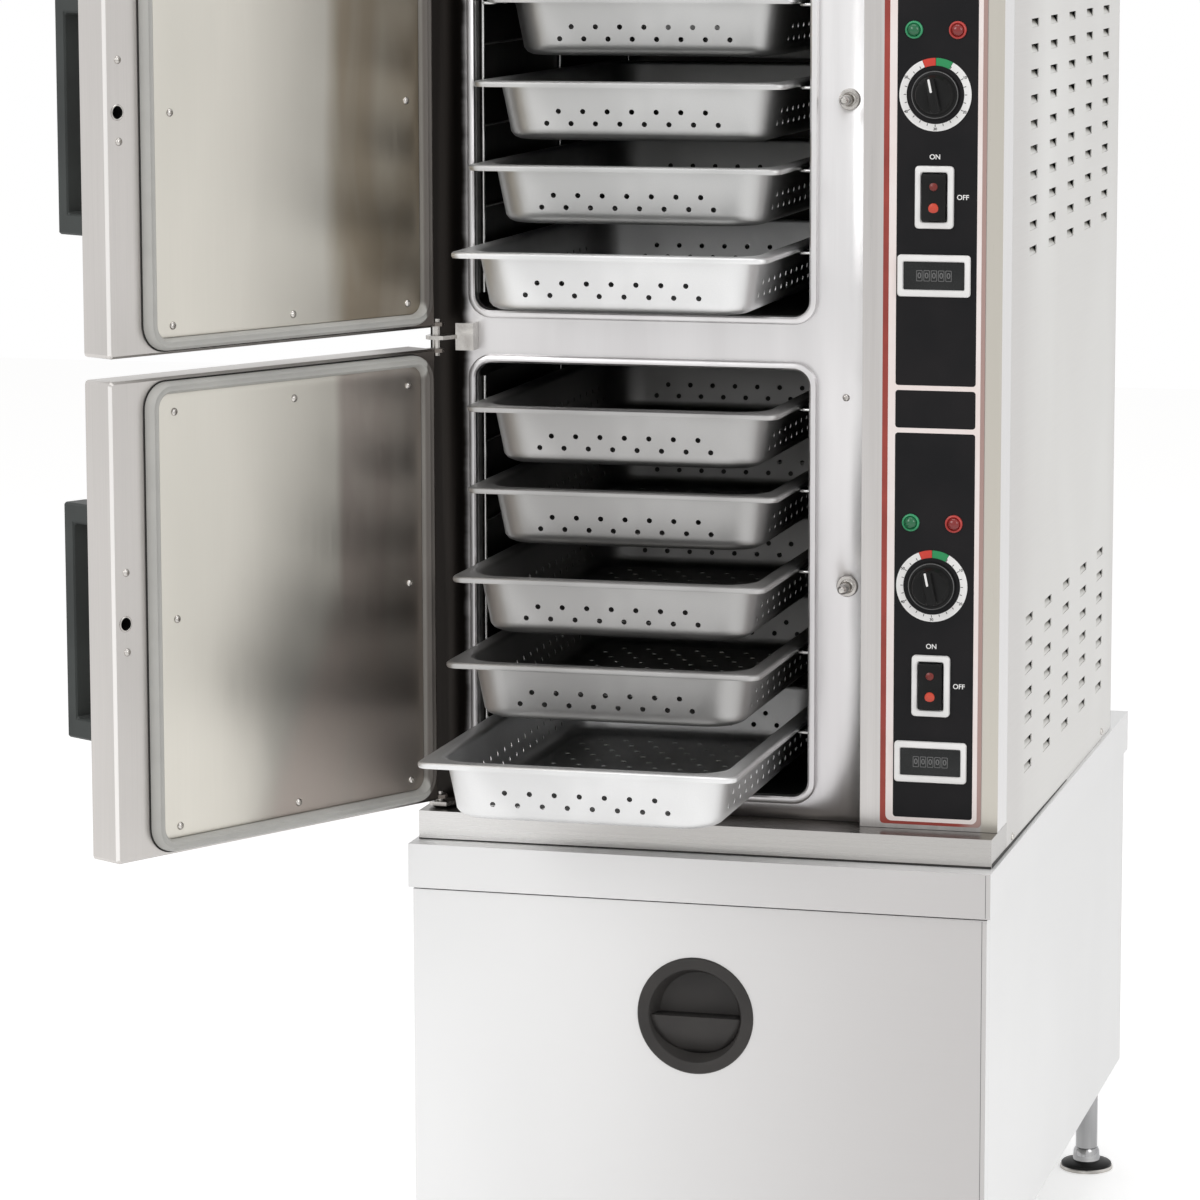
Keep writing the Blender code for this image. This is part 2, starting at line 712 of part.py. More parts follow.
def build_front_panel(frame):
    """Folded lift-off panel with its round recessed pull."""
    top = DECK - BAND_HEIGHT - PANEL_REVEAL
    bottom = LEG_HEIGHT + PANEL_REVEAL
    panel = folded_box("base_front_panel", (SHELL_LEFT, BAND_PROUD, bottom),
                       (SHELL_RIGHT, BAND_PROUD + PANEL_FOLD, top),
                       ("left", "right", "front", "bottom", "top"), frame)
    pull_height = top - PULL_DROP
    hole = place_tool("pull_hole", rod_mesh("pull_hole", PULL_HOLE_DIAMETER / 2, PANEL_FOLD, 24),
                      frame, (0, BAND_PROUD, pull_height), FACING_FRONT)
    combine(panel, hole, 'DIFFERENCE')
    paint(panel, WHITE_STEEL)
    pull = place("panel_pull", pull_mesh(), frame, (0, BAND_PROUD, pull_height), FACING_FRONT)
    bar_reach = PULL_HOLE_DIAMETER / 2 - PULL_PROUD
    bar = place_tool("pull_bar", box_mesh("pull_bar", (-bar_reach, -PULL_BAR_HEIGHT / 2,
                                                       -PULL_BAR_DEPTH),
                                          (bar_reach, PULL_BAR_HEIGHT / 2, 0)),
                     frame, (0, BAND_PROUD, pull_height), FACING_FRONT)
    combine(pull, bar, 'UNION')
    paint(pull, BLACK_PLASTIC)


def pull_mesh():
    """Dished ring that seats in the panel's round hole, facing +Z."""
    hole = PULL_HOLE_DIAMETER / 2 - PULL_PLAY
    flange = PULL_DIAMETER / 2
    dish = PULL_DISH_DIAMETER / 2
    crest = PULL_PROUD
    profile = [(0, -PULL_DISH_DEPTH), (dish, -PULL_DISH_DEPTH),
               (hole - 2 * PULL_WALL, PULL_PROUD / 2), (hole - PULL_WALL / 2, crest),
               (flange - PULL_WALL, crest), (flange, PULL_PROUD / 3), (flange, GAP),
               (hole, GAP), (hole, -PULL_PROUD), (dish + PULL_WALL, -PULL_DISH_DEPTH - PULL_WALL),
               (0, -PULL_DISH_DEPTH - PULL_WALL)]
    return turned_mesh("panel_pull", profile, 20)


def build_legs(frame):
    """Four tube legs, each with its top plate and its flanged foot."""
    tube = LEG_DIAMETER / 2
    top = LEG_HEIGHT - GAP
    plate = LEG_PLATE_DIAMETER / 2
    neck = FOOT_NECK_DIAMETER / 2
    rim = FOOT_DIAMETER / 2
    leg = turned_mesh("leg", [(0, top), (plate, top), (plate, top - LEG_PLATE),
                              (tube, top - LEG_PLATE), (tube, FOOT_HEIGHT), (neck, FOOT_HEIGHT),
                              (neck, FOOT_HEIGHT / 2), (rim, FOOT_RIM), (rim, 0), (0, 0)], 10)
    side = SHELL_RIGHT + BAND_PROUD - LEG_SIDE_INSET
    for end, y in (("front", LEG_END_INSET), ("rear", BASE_DEPTH - LEG_END_INSET)):
        for hand, x in (("left", -side), ("right", side)):
            post = place(f"leg_{end}_{hand}", leg.copy(), frame, (x, y, 0))
            paint(post, STEEL)


def fascia_mesh():
    """Front sheet with two rounded openings in raised lips, its face at zero, facing +Z."""
    shape = bmesh.new()
    right = COLUMN_LEFT + FASCIA_OVERLAP
    bottom = DECK + LEDGE_HEIGHT + GAP
    corners = [(SHELL_LEFT, bottom), (right, bottom), (right, WALL_TOP), (SHELL_LEFT, WALL_TOP)]
    border = loop_edges(shape, loop_of_points(shape, corners, 0))
    side_edge = border[0]
    flat_edges = list(border)
    for compartment in COMPARTMENTS:
        centre = (OPENING_MIDDLE, sill(compartment) + OPENING_HEIGHT / 2)
        outer = rounded(OPENING_WIDTH + 2 * LIP_WIDTH, OPENING_HEIGHT + 2 * LIP_WIDTH,
                        OPENING_RADIUS + LIP_WIDTH, centre=centre)
        inner = rounded(OPENING_WIDTH, OPENING_HEIGHT, OPENING_RADIUS, centre=centre)
        loops = [loop_of_points(shape, outline, height)
                 for outline, height in ((outer, 0), (outer, LIP_PROUD), (inner, LIP_PROUD),
                                         (inner, -SHEET))]
        for near, far in zip(loops, loops[1:]):
            bridge(shape, near, far)
        flat_edges += loop_edges(shape, loops[0])
    bmesh.ops.triangle_fill(shape, use_beauty=True, edges=flat_edges, normal=(0, 0, 1))
    fold = new_points(bmesh.ops.extrude_edge_only(shape, edges=[side_edge]))
    bmesh.ops.translate(shape, verts=fold, vec=(0, 0, GAP - SIDE_SEAM))
    point_faces(shape, Vector((0, 0, 1)))
    return to_mesh("front_fascia", shape)


def folded_strip(name, path, bottom, top, parent):
    """Sheet folded along a plan path, with its broad side to the front."""
    shape = bmesh.new()
    points = [shape.verts.new((x, y, bottom)) for x, y in path]
    edges = [shape.edges.new(pair) for pair in zip(points, points[1:])]
    upper = new_points(bmesh.ops.extrude_edge_only(shape, edges=edges))
    bmesh.ops.translate(shape, verts=upper, vec=(0, 0, top - bottom))
    point_faces(shape, Vector((0, -1, 0)))
    item = place(name, to_mesh(name, shape), parent)
    thicken(item, SHEET)
    return item


def build_shell(frame):
    """Ledge, fascia, column, sides, top and rear of the steamer."""
    wall_foot = DECK + GAP
    ledge = folded_box("steamer_ledge", (SHELL_LEFT, LEDGE_SETBACK, wall_foot),
                       (SHELL_RIGHT, SEAM_PLANE - GAP, DECK + LEDGE_HEIGHT),
                       ("left", "right", "front", "top"), frame)
    paint(ledge, STEEL)
    fascia = place("front_fascia", fascia_mesh(), frame, (0, FASCIA_SETBACK, 0), FACING_FRONT)
    thicken(fascia, SHEET)
    paint(fascia, STEEL)
    column_path = [(COLUMN_LEFT, FASCIA_SETBACK - GAP), (COLUMN_LEFT, COLUMN_SETBACK),
                   (SHELL_RIGHT, COLUMN_SETBACK), (SHELL_RIGHT, SEAM_PLANE - GAP)]
    column = folded_strip("control_column", column_path, DECK + LEDGE_HEIGHT + GAP, WALL_TOP,
                          frame)
    paint(column, STEEL)
    side_back = SHELL_BACK - SHEET - GAP
    left = folded_box("side_panel_left", (SHELL_LEFT, SEAM_PLANE, wall_foot),
                      (SHELL_LEFT + FLANGE, side_back, WALL_TOP),
                      ("left", "front", "back", "top", "bottom"), frame)
    paint(left, STEEL)
    right = place("side_panel_right", louvred_side_mesh(side_back), frame,
                  (SHELL_RIGHT, 0, 0), FACING_SIDE)
    thicken(right, SHEET)
    paint(right, STEEL)
    top = folded_box("top_panel", (SHELL_LEFT, COLUMN_SETBACK, SHELL_TOP - TOP_EDGE),
                     (SHELL_RIGHT, SHELL_BACK, SHELL_TOP),
                     ("left", "right", "front", "back", "top"), frame)
    paint(top, STEEL)
    rear = place("rear_panel", box_mesh("rear_panel", (SHELL_LEFT, SHELL_BACK - SHEET, wall_foot),
                                        (SHELL_RIGHT, SHELL_BACK, WALL_TOP)), frame)
    paint(rear, DULL_STEEL)


def louvred_side_mesh(back):
    """Right side with its louvre slots, in its own plane: depth along X, height along Y."""
    shape = bmesh.new()
    bottom = DECK + GAP
    corners = [(SEAM_PLANE, bottom), (back, bottom), (back, WALL_TOP), (SEAM_PLANE, WALL_TOP)]
    border = loop_edges(shape, loop_of_points(shape, corners, 0))
    flat_edges = list(border)
    for first_row, rows in LOUVRE_FIELDS:
        for column in range(LOUVRE_COLUMNS):
            depth = FASCIA_SETBACK + LOUVRE_FIRST_COLUMN + column * LOUVRE_COLUMN_PITCH
            for row in range(rows):
                height = DECK + first_row + row * LOUVRE_ROW_PITCH
                slot = rectangle(LOUVRE_WIDTH, LOUVRE_HEIGHT, (depth, height))
                flat_edges += loop_edges(shape, loop_of_points(shape, slot, 0))
    bmesh.ops.triangle_fill(shape, use_beauty=True, edges=flat_edges, normal=(0, 0, 1))
    fold = new_points(bmesh.ops.extrude_edge_only(shape, edges=border))
    bmesh.ops.translate(shape, verts=fold, vec=(0, 0, -FLANGE))
    point_faces(shape, Vector((0, 0, 1)))
    return to_mesh("side_panel_right", shape)


def build_cavity(frame, compartment):
    """Liner with its shaft hole, fan guard, wheel, motor, generator and pan rack."""
    middle = sill(compartment) + OPENING_HEIGHT / 2
    depth = CAVITY_BACK - CAVITY_FRONT
    mouth = rounded(OPENING_WIDTH, OPENING_HEIGHT, OPENING_RADIUS)
    flange = rounded(OPENING_WIDTH + 2 * CAVITY_FLANGE, OPENING_HEIGHT + 2 * CAVITY_FLANGE,
                     OPENING_RADIUS + CAVITY_FLANGE)
    sections = [(flange, 0), (mouth, 0), (mouth, -depth)]
    name = f"{compartment}_cavity_liner"
    liner = place(name, loft_mesh(name, sections), frame, (OPENING_MIDDLE, CAVITY_FRONT, middle),
                  FACING_FRONT)
    thicken(liner, SHEET, side=1)
    hole = place_tool(f"{compartment}_shaft_hole",
                      rod_mesh("shaft_hole", SHAFT_HOLE_DIAMETER / 2, 2 * OVERRUN, 12), frame,
                      (OPENING_MIDDLE, CAVITY_BACK, middle), FACING_FRONT)
    combine(liner, hole, 'DIFFERENCE')
    paint(liner, DULL_STEEL)
    build_fan(frame, compartment, middle)
    build_generator(frame, compartment)
    build_rack(frame, compartment)


def build_fan(frame, compartment, middle):
    """Guard on its posts, centrifugal wheel and the motor behind the cavity wall."""
    post_length = FAN_ROOM - SHEET / 2 - GAP
    guard_width = OPENING_WIDTH - 2 * GUARD_MARGIN
    guard_height = OPENING_HEIGHT - 2 * GUARD_MARGIN
    outlines = [rectangle(guard_width, guard_height)]
    for slot in range(GUARD_SLOTS):
        rise = (slot - (GUARD_SLOTS - 1) / 2) * GUARD_SLOT_PITCH
        outlines.append(rectangle(GUARD_SLOT_WIDTH, GUARD_SLOT_HEIGHT, (0, rise)))
    post = rod_mesh("fan_guard_post", GUARD_POST_DIAMETER / 2, post_length, 6)
    post_x = guard_width / 2 - GUARD_POST_INSET
    post_z = guard_height / 2 - GUARD_POST_INSET
    posts = [(post, shifted(x, z, -post_length / 2))
             for x in (-post_x, post_x) for z in (-post_z, post_z)]
    spot = (OPENING_MIDDLE, CAVITY_BACK, middle)
    plate_spot = (OPENING_MIDDLE, CAVITY_BACK - FAN_ROOM + SHEET / 2, middle)
    name = f"{compartment}_fan_guard"
    guard = place(name, outline_mesh(name, outlines, SHEET), frame, plate_spot, FACING_FRONT)
    legs = place_tool(f"{compartment}_guard_posts", grouped_mesh("guard_posts", posts), frame,
                      plate_spot, FACING_FRONT)
    combine(guard, legs, 'UNION')
    paint(guard, DULL_STEEL)
    axis = axis_empty(f"{compartment}_fan_axis", frame, spot, FACING_FRONT)
    name = f"{compartment}_fan_wheel"
    wheel = place(name, wheel_mesh(), axis)
    blades = place_tool(f"{compartment}_fan_blades", blades_mesh(), axis)
    combine(wheel, blades, 'UNION')
    paint(wheel, STEEL)
    name = f"{compartment}_fan_motor"
    motor = place(name, motor_mesh(name), frame, (OPENING_MIDDLE, CAVITY_BACK + SHEET, middle),
                  FACING_FRONT)
    paint(motor, PAINTED_MOTOR)


def wheel_mesh():
    """Disc and hub of the fan wheel, bored for the shaft, facing +Z from the cavity wall."""
    bore = SHAFT_DIAMETER / 2 + GAP
    disc_top = WHEEL_WALL_ROOM + WHEEL_DISC
    hub_top = disc_top + BLADE_DEPTH
    profile = [(bore, hub_top), (HUB_DIAMETER / 2, hub_top), (HUB_DIAMETER / 2, disc_top),
               (WHEEL_DIAMETER / 2, disc_top), (WHEEL_DIAMETER / 2, WHEEL_WALL_ROOM),
               (bore, WHEEL_WALL_ROOM)]
    return turned_mesh("fan_wheel", profile, 16, ring=True)


def blades_mesh():
    """Radial blades that stand on the wheel's disc."""
    outer = WHEEL_DIAMETER / 2 - BLADE_THICKNESS
    foot = WHEEL_WALL_ROOM + WHEEL_DISC / 2
    blade = box_mesh("fan_blade", (outer - BLADE_LENGTH, -BLADE_THICKNESS / 2, foot),
                     (outer, BLADE_THICKNESS / 2, foot + BLADE_DEPTH))
    full_turn = math.radians(360)
    pieces = [(blade, Matrix.Rotation(full_turn * number / WHEEL_BLADES, 4, 'Z'))
              for number in range(WHEEL_BLADES)]
    return grouped_mesh("fan_blades", pieces)


def motor_mesh(name):
    """Flanged motor with its shaft, facing +Z; the wall's back is at zero."""
    shaft = SHAFT_DIAMETER / 2
    shaft_tip = SHEET + WHEEL_WALL_ROOM + WHEEL_DISC + BLADE_DEPTH
    flange = MOTOR_FLANGE_DIAMETER / 2
    body = MOTOR_DIAMETER / 2
    profile = [(0, shaft_tip), (shaft, shaft_tip), (shaft, -GAP), (flange, -GAP),
               (flange, -MOTOR_FLANGE), (body, -MOTOR_FLANGE), (body, -MOTOR_LENGTH),
               (0, -MOTOR_LENGTH)]
    return turned_mesh(name, profile, 12)


def build_generator(frame, compartment):
    """Steam generator tank, bolted to the outside of the cavity's right wall."""
    name = f"{compartment}_steam_generator"
    wall = OPENING_RIGHT + SHEET + GAP
    front = FASCIA_SETBACK + GENERATOR_SETBACK
    foot = sill(compartment) + GENERATOR_RISE
    tank = place(name, box_mesh(name, (wall, front, foot),
                                (wall + GENERATOR_WIDTH, front + GENERATOR_DEPTH,
                                 foot + GENERATOR_HEIGHT)), frame)
    soften(tank, GENERATOR_SOFTENING)
    paint(tank, DULL_STEEL)


def build_rack(frame, compartment):
    """Welded wire rack: uprights on both walls, cross wires at the back and the pan slides."""
    radius = WIRE_DIAMETER / 2
    upright_reach = OPENING_WIDTH / 2 - GAP - radius
    slide_reach = PAN_WIDTH / 2 - radius
    front = FASCIA_SETBACK + RACK_FRONT_ROOM
    back = CAVITY_BACK - FAN_ROOM - RACK_END_ROOM
    foot = sill(compartment) + OPENING_RADIUS
    head = sill(compartment) + OPENING_HEIGHT - OPENING_RADIUS
    uprights = []
    slides = []
    for side in (-1, 1):
        upright_x = OPENING_MIDDLE + side * upright_reach
        slide_x = OPENING_MIDDLE + side * slide_reach
        uprights += [[(upright_x, y, foot), (upright_x, y, head)] for y in (front, back)]
        for number in range(PANS_PER_COMPARTMENT):
            height = rim_height(compartment, number) - PAN_ROLL - GAP - radius
            slides.append([(upright_x, front, height), (slide_x, front, height),
                           (slide_x, back, height), (upright_x, back, height)])
    for height in (foot + WIRE_DIAMETER, head - WIRE_DIAMETER):
        slides.append([(OPENING_MIDDLE - upright_reach, back, height),
                       (OPENING_MIDDLE + upright_reach, back, height)])
    name = f"{compartment}_rack"
    rack = place(name, wires_mesh(name, uprights), frame)
    rungs = place_tool(f"{name}_slides", wires_mesh(f"{name}_slides", slides), frame)
    combine(rack, rungs, 'UNION')
    paint(rack, STEEL)


def wires_mesh(name, runs):
    """Several wires in one mesh."""
    return grouped_mesh(name, [(wire_mesh(name, run, WIRE_DIAMETER), Matrix()) for run in runs])


def build_door(frame, compartment):
    """Door on its hinge axis: folded shell with lugs, gasket, liner and handle."""
    hinge = axis_empty(f"{compartment}_door_hinge", frame, (HINGE_X, HINGE_Y, sill(compartment)),
                       (0, 0, -DOOR_OPEN_ANGLE))
    build_door_shell(hinge, compartment)
    build_door_seal(hinge, compartment)
    build_handle(hinge, compartment)


def gasket_box():
    """Middle and size of the gasket's outer outline, in the door's own plane."""
    reach = (GASKET_WIDTH + LIP_WIDTH) / 2
    left = HINGE_OUTSET - reach - GASKET_HINGE_SHIFT
    right = HINGE_OUTSET + OPENING_WIDTH + reach
    width = right - left
    height = OPENING_HEIGHT + 2 * reach
    return (left + width / 2, DOOR_MIDDLE), width, height


def build_door_shell(hinge, compartment):
    """Folded door pan with a window behind the liner, a latch hole and two hinge lugs."""
    middle, gasket_width, gasket_height = gasket_box()
    window_width = gasket_width - 2 * GASKET_WIDTH - 2 * WINDOW_MARGIN
    window_height = gasket_height - 2 * GASKET_WIDTH - 2 * WINDOW_MARGIN
    window = rounded(window_width, window_height, OPENING_RADIUS, FOLD_STEPS, middle)
    width = DOOR_FREE_EDGE - DOOR_HINGE_EDGE
    height = DOOR_TOP - DOOR_BOTTOM
    centre = (DOOR_HINGE_EDGE + width / 2, DOOR_MIDDLE)
    edge = rounded(width, height, DOOR_CORNER_RADIUS, FOLD_STEPS, centre)
    fold = rounded(width - 2 * DOOR_FOLD, height - 2 * DOOR_FOLD,
                   DOOR_CORNER_RADIUS - DOOR_FOLD / 2, FOLD_STEPS, centre)
    sections = [(window, -DOOR_INNER), (fold, -DOOR_INNER), (edge, -DOOR_INNER + DOOR_FOLD),
                (edge, -DOOR_OUTER - DOOR_FOLD), (fold, -DOOR_OUTER)]
    name = f"{compartment}_door_shell"
    shell = place(name, loft_mesh(name, sections), hinge, (0, 0, 0), FACING_FRONT)
    thicken(shell, SHEET)
    inside = DOOR_INNER - 2 * SHEET
    for end, level in (("bottom", DOOR_BOTTOM + SHEET / 2 + LUG_THICKNESS / 2),
                       ("top", DOOR_TOP - SHEET / 2 - LUG_THICKNESS / 2)):
        tool = place_tool(f"{compartment}_{end}_lug", lug_mesh(inside), hinge, (0, 0, level))
        combine(shell, tool, 'UNION')
    latch = DOOR_FREE_EDGE - LATCH_EDGE
    hole = place_tool(f"{compartment}_latch_hole",
                      rod_mesh("latch_hole", LATCH_HOLE_DIAMETER / 2, 2 * OVERRUN, 12), hinge,
                      (latch, DOOR_INNER, DOOR_MIDDLE), FACING_FRONT)
    combine(shell, hole, 'DIFFERENCE')
    paint(shell, STEEL)


def lug_mesh(inside):
    """Hinge lug: a plate round the pin that reaches into the door."""
    radius = LUG_DIAMETER / 2
    half_turn = math.radians(180)
    arc_steps = 4
    outline = [(-radius * math.sin(half_turn * step / arc_steps),
                radius * math.cos(half_turn * step / arc_steps)) for step in range(arc_steps + 1)]
    outline += [(LUG_REACH, -radius), (LUG_REACH, inside), (DOOR_HINGE_EDGE - SHEET, inside)]
    bore = circle(HINGE_PIN_DIAMETER / 2 + HINGE_PLAY, PIN_SIDES)
    return outline_mesh("hinge_lug", [outline, bore], LUG_THICKNESS)


def build_door_seal(hinge, compartment):
    """Gasket ring on the door's inner face and the liner plate inside it."""
    middle, width, height = gasket_box()
    foot = -DOOR_INNER - GAP
    crest = -DOOR_INNER - GASKET_PROUD
    outer = rounded(width, height, OPENING_RADIUS + GASKET_WIDTH, centre=middle)
    outer_crown = rounded(width - 2 * GASKET_CROWN, height - 2 * GASKET_CROWN,
                          OPENING_RADIUS + GASKET_WIDTH - GASKET_CROWN, centre=middle)
    inset = GASKET_WIDTH - GASKET_CROWN
    inner_crown = rounded(width - 2 * inset, height - 2 * inset,
                          OPENING_RADIUS + GASKET_CROWN, centre=middle)
    inner = rounded(width - 2 * GASKET_WIDTH, height - 2 * GASKET_WIDTH, OPENING_RADIUS,
                    centre=middle)
    shoulder = crest + GASKET_CROWN
    sections = [(outer, foot), (outer, shoulder), (outer_crown, crest), (inner_crown, crest),
                (inner, shoulder), (inner, foot)]
    name = f"{compartment}_door_gasket"
    gasket = place(name, loft_mesh(name, sections, caps=(), ring=True), hinge, (0, 0, 0),
                   FACING_FRONT)
    paint(gasket, DARK_RUBBER)
    plate_width = width - 2 * GASKET_WIDTH - 2 * GAP
    plate_height = height - 2 * GASKET_WIDTH - 2 * GAP
    edge = rounded(plate_width, plate_height, OPENING_RADIUS, centre=middle)
    face = rounded(plate_width - LINER_PROUD, plate_height - LINER_PROUD,
                   OPENING_RADIUS - LINER_PROUD / 2, centre=middle)
    sections = [(edge, foot), (edge, foot - LINER_PROUD / 2), (face, foot - LINER_PROUD)]
    name = f"{compartment}_door_liner"
    liner = place(name, loft_mesh(name, sections, caps=("first", "last")), hinge, (0, 0, 0),
                  FACING_FRONT)
    paint(liner, STEEL)


def build_handle(hinge, compartment):
    """Straight bar handle on two end posts, on the door's outer face."""
    seat = DOOR_OUTER - GAP
    grip = seat - HANDLE_FINGER_ROOM
    face = grip - HANDLE_THICKNESS
    half = HANDLE_LENGTH / 2
    inside = half - HANDLE_POST
    outline = [(seat, -half), (seat, -inside), (grip, -inside), (grip, inside), (seat, inside),
               (seat, half), (face, half), (face, -half)]
    along = DOOR_FREE_EDGE - HANDLE_EDGE - HANDLE_WIDTH / 2
    name = f"{compartment}_door_handle"
    handle = place(name, outline_mesh(name, [outline], HANDLE_WIDTH), hinge,
                   (along, 0, DOOR_MIDDLE - HANDLE_DROP), FACING_SIDE)
    soften(handle, HANDLE_SOFTENING)
    paint(handle, BLACK_PLASTIC)


def build_strikes(frame):
    """Two ringed strike studs on the fascia that enter the doors' latch holes."""
    stem = STRIKE_DIAMETER / 2
    base = STRIKE_BASE_DIAMETER / 2
    tip = HINGE_STANDOFF - DOOR_INNER + STRIKE_ENTRY
    stud = turned_mesh("strike_stud", [(0, tip), (stem * 3 / 5, tip), (stem, tip - stem / 2),
                                       (stem, STRIKE_BASE), (base, STRIKE_BASE), (base, GAP),
                                       (0, GAP)], 12)
    for compartment in COMPARTMENTS:
        strike = place(f"{compartment}_strike_stud", stud.copy(), frame,
                       (STRIKE_X, FASCIA_SETBACK, sill(compartment) + DOOR_MIDDLE), FACING_FRONT)
        paint(strike, STEEL)


def bracket_mesh(name, block_foot, block_head, arm_level, pin_foot, pin_head):
    """Hinge bracket: a block on the fascia, an arm plate and the fixed pin, as one body."""
    block_right = OPENING_LEFT + BRACKET_CLEARANCE / 2
    block_left = block_right - BRACKET_BLOCK_WIDTH
    front = HINGE_Y + DOOR_INNER + BRACKET_CLEARANCE
    back = FASCIA_SETBACK - GAP
    block = place(f"{name}_block", box_mesh(name, (block_left, front, block_foot),
                                            (block_right, back, block_head)), None)
    half_arm = BRACKET_ARM_WIDTH / 2
    nose = HINGE_X - half_arm
    outline = [(nose, HINGE_Y - half_arm / 2), (nose + half_arm / 2, HINGE_Y - half_arm),
               (HINGE_X + half_arm, HINGE_Y - half_arm), (block_left + OVERRUN, front + OVERRUN),
               (block_left + OVERRUN, back - OVERRUN), (nose, HINGE_Y + half_arm)]
    arm = place_tool(f"{name}_arm", outline_mesh(f"{name}_arm", [outline], BRACKET_ARM), None,
                     (0, 0, arm_level))
    combine(block, arm, 'UNION')
    pin = place_tool(f"{name}_pin", rod_mesh(f"{name}_pin", HINGE_PIN_DIAMETER / 2,
                                             pin_head - pin_foot, PIN_SIDES), None,
                     (HINGE_X, HINGE_Y, (pin_foot + pin_head) / 2))
    combine(block, pin, 'UNION')
    return finished_mesh(name, block)


def build_hinge_brackets(frame):
    """Bottom, middle and top hinge brackets; the middle pin serves both doors."""
    lower_foot = sill("lower") + DOOR_BOTTOM
    lower_head = sill("lower") + DOOR_TOP
    upper_foot = sill("upper") + DOOR_BOTTOM
    upper_head = sill("upper") + DOOR_TOP
    ledge_top = DECK + LEDGE_HEIGHT + GAP
    bottom_arm = (ledge_top + lower_foot) / 2
    middle_arm = (lower_head + upper_foot) / 2
    top_arm = upper_head + (upper_foot - lower_head) / 2
    block_half = BRACKET_BLOCK_HEIGHT / 2
    levels = {
        "hinge_bracket_bottom": (ledge_top, lower_foot - BRACKET_CLEARANCE, bottom_arm,
                                 bottom_arm, lower_foot + PIN_ENTRY),
        "hinge_bracket_middle": (middle_arm - block_half, middle_arm + block_half, middle_arm,
                                 lower_head - PIN_ENTRY, upper_foot + PIN_ENTRY),
        "hinge_bracket_top": (top_arm - block_half, WALL_TOP - BRACKET_CLEARANCE, top_arm,
                              upper_head - PIN_ENTRY, top_arm),
    }
    for name, heights in levels.items():
        bracket = place(name, bracket_mesh(name, *heights), frame)
        paint(bracket, DULL_STEEL)


def framed_window_mesh(name, outer, window, radius, proud, floor):
    """Bezel with a recessed window, facing +Z from inside the panel that carries it."""
    outline = rounded(*outer, radius, 1)
    face = rounded(outer[0] - radius, outer[1] - radius, radius / 2, 1)
    recess = rounded(*window, radius / 2, 1)
    sections = [(outline, -PANEL_THICKNESS / 2), (outline, proud - radius / 2), (face, proud),
                (recess, proud), (recess, floor)]
    return loft_mesh(name, sections, caps=("first", "last"))


def rocker_mesh():
    """Rocker with a hollow front and a raised underside, turned about its seat line."""
    half = SWITCH_WINDOW_HEIGHT / 2 - ROCKER_PLAY
    seat = SWITCH_FLOOR + GAP
    outline = [(-half, seat + ROCKER_LIFT), (0, seat), (half, seat + ROCKER_LIFT),
               (half - ROCKER_PLAY, ROCKER_PROUD), (0, ROCKER_PROUD - ROCKER_HOLLOW),
               (ROCKER_PLAY - half, ROCKER_PROUD)]
    return outline_mesh("rocker", [outline], SWITCH_WINDOW_WIDTH - 2 * ROCKER_PLAY)


def knob_mesh():
    """Skirted timer knob, facing +Z from the dial plate."""
    foot = DIAL_THICKNESS + GAP
    skirt = KNOB_DIAMETER / 2
    top = KNOB_TOP_DIAMETER / 2
    crown = KNOB_HEIGHT - KNOB_SKIRT
    return turned_mesh("knob", [(0, crown), (top - KNOB_SKIRT / 2, crown),
                                (top, crown - KNOB_SKIRT / 2), (top + KNOB_SKIRT / 2, KNOB_SKIRT),
                                (skirt, KNOB_SKIRT), (skirt, foot), (0, foot)], 16)


def lamp_mesh():
    """Domed indicator lens, facing +Z from the panel."""
    radius = LAMP_DIAMETER / 2
    return turned_mesh("lamp", [(0, LAMP_PROUD), (radius / 2, LAMP_PROUD - radius / 8),
                                (radius * 5 / 6, LAMP_PROUD / 2), (radius, LAMP_PROUD / 3),
                                (radius, GAP), (0, GAP)], 10)


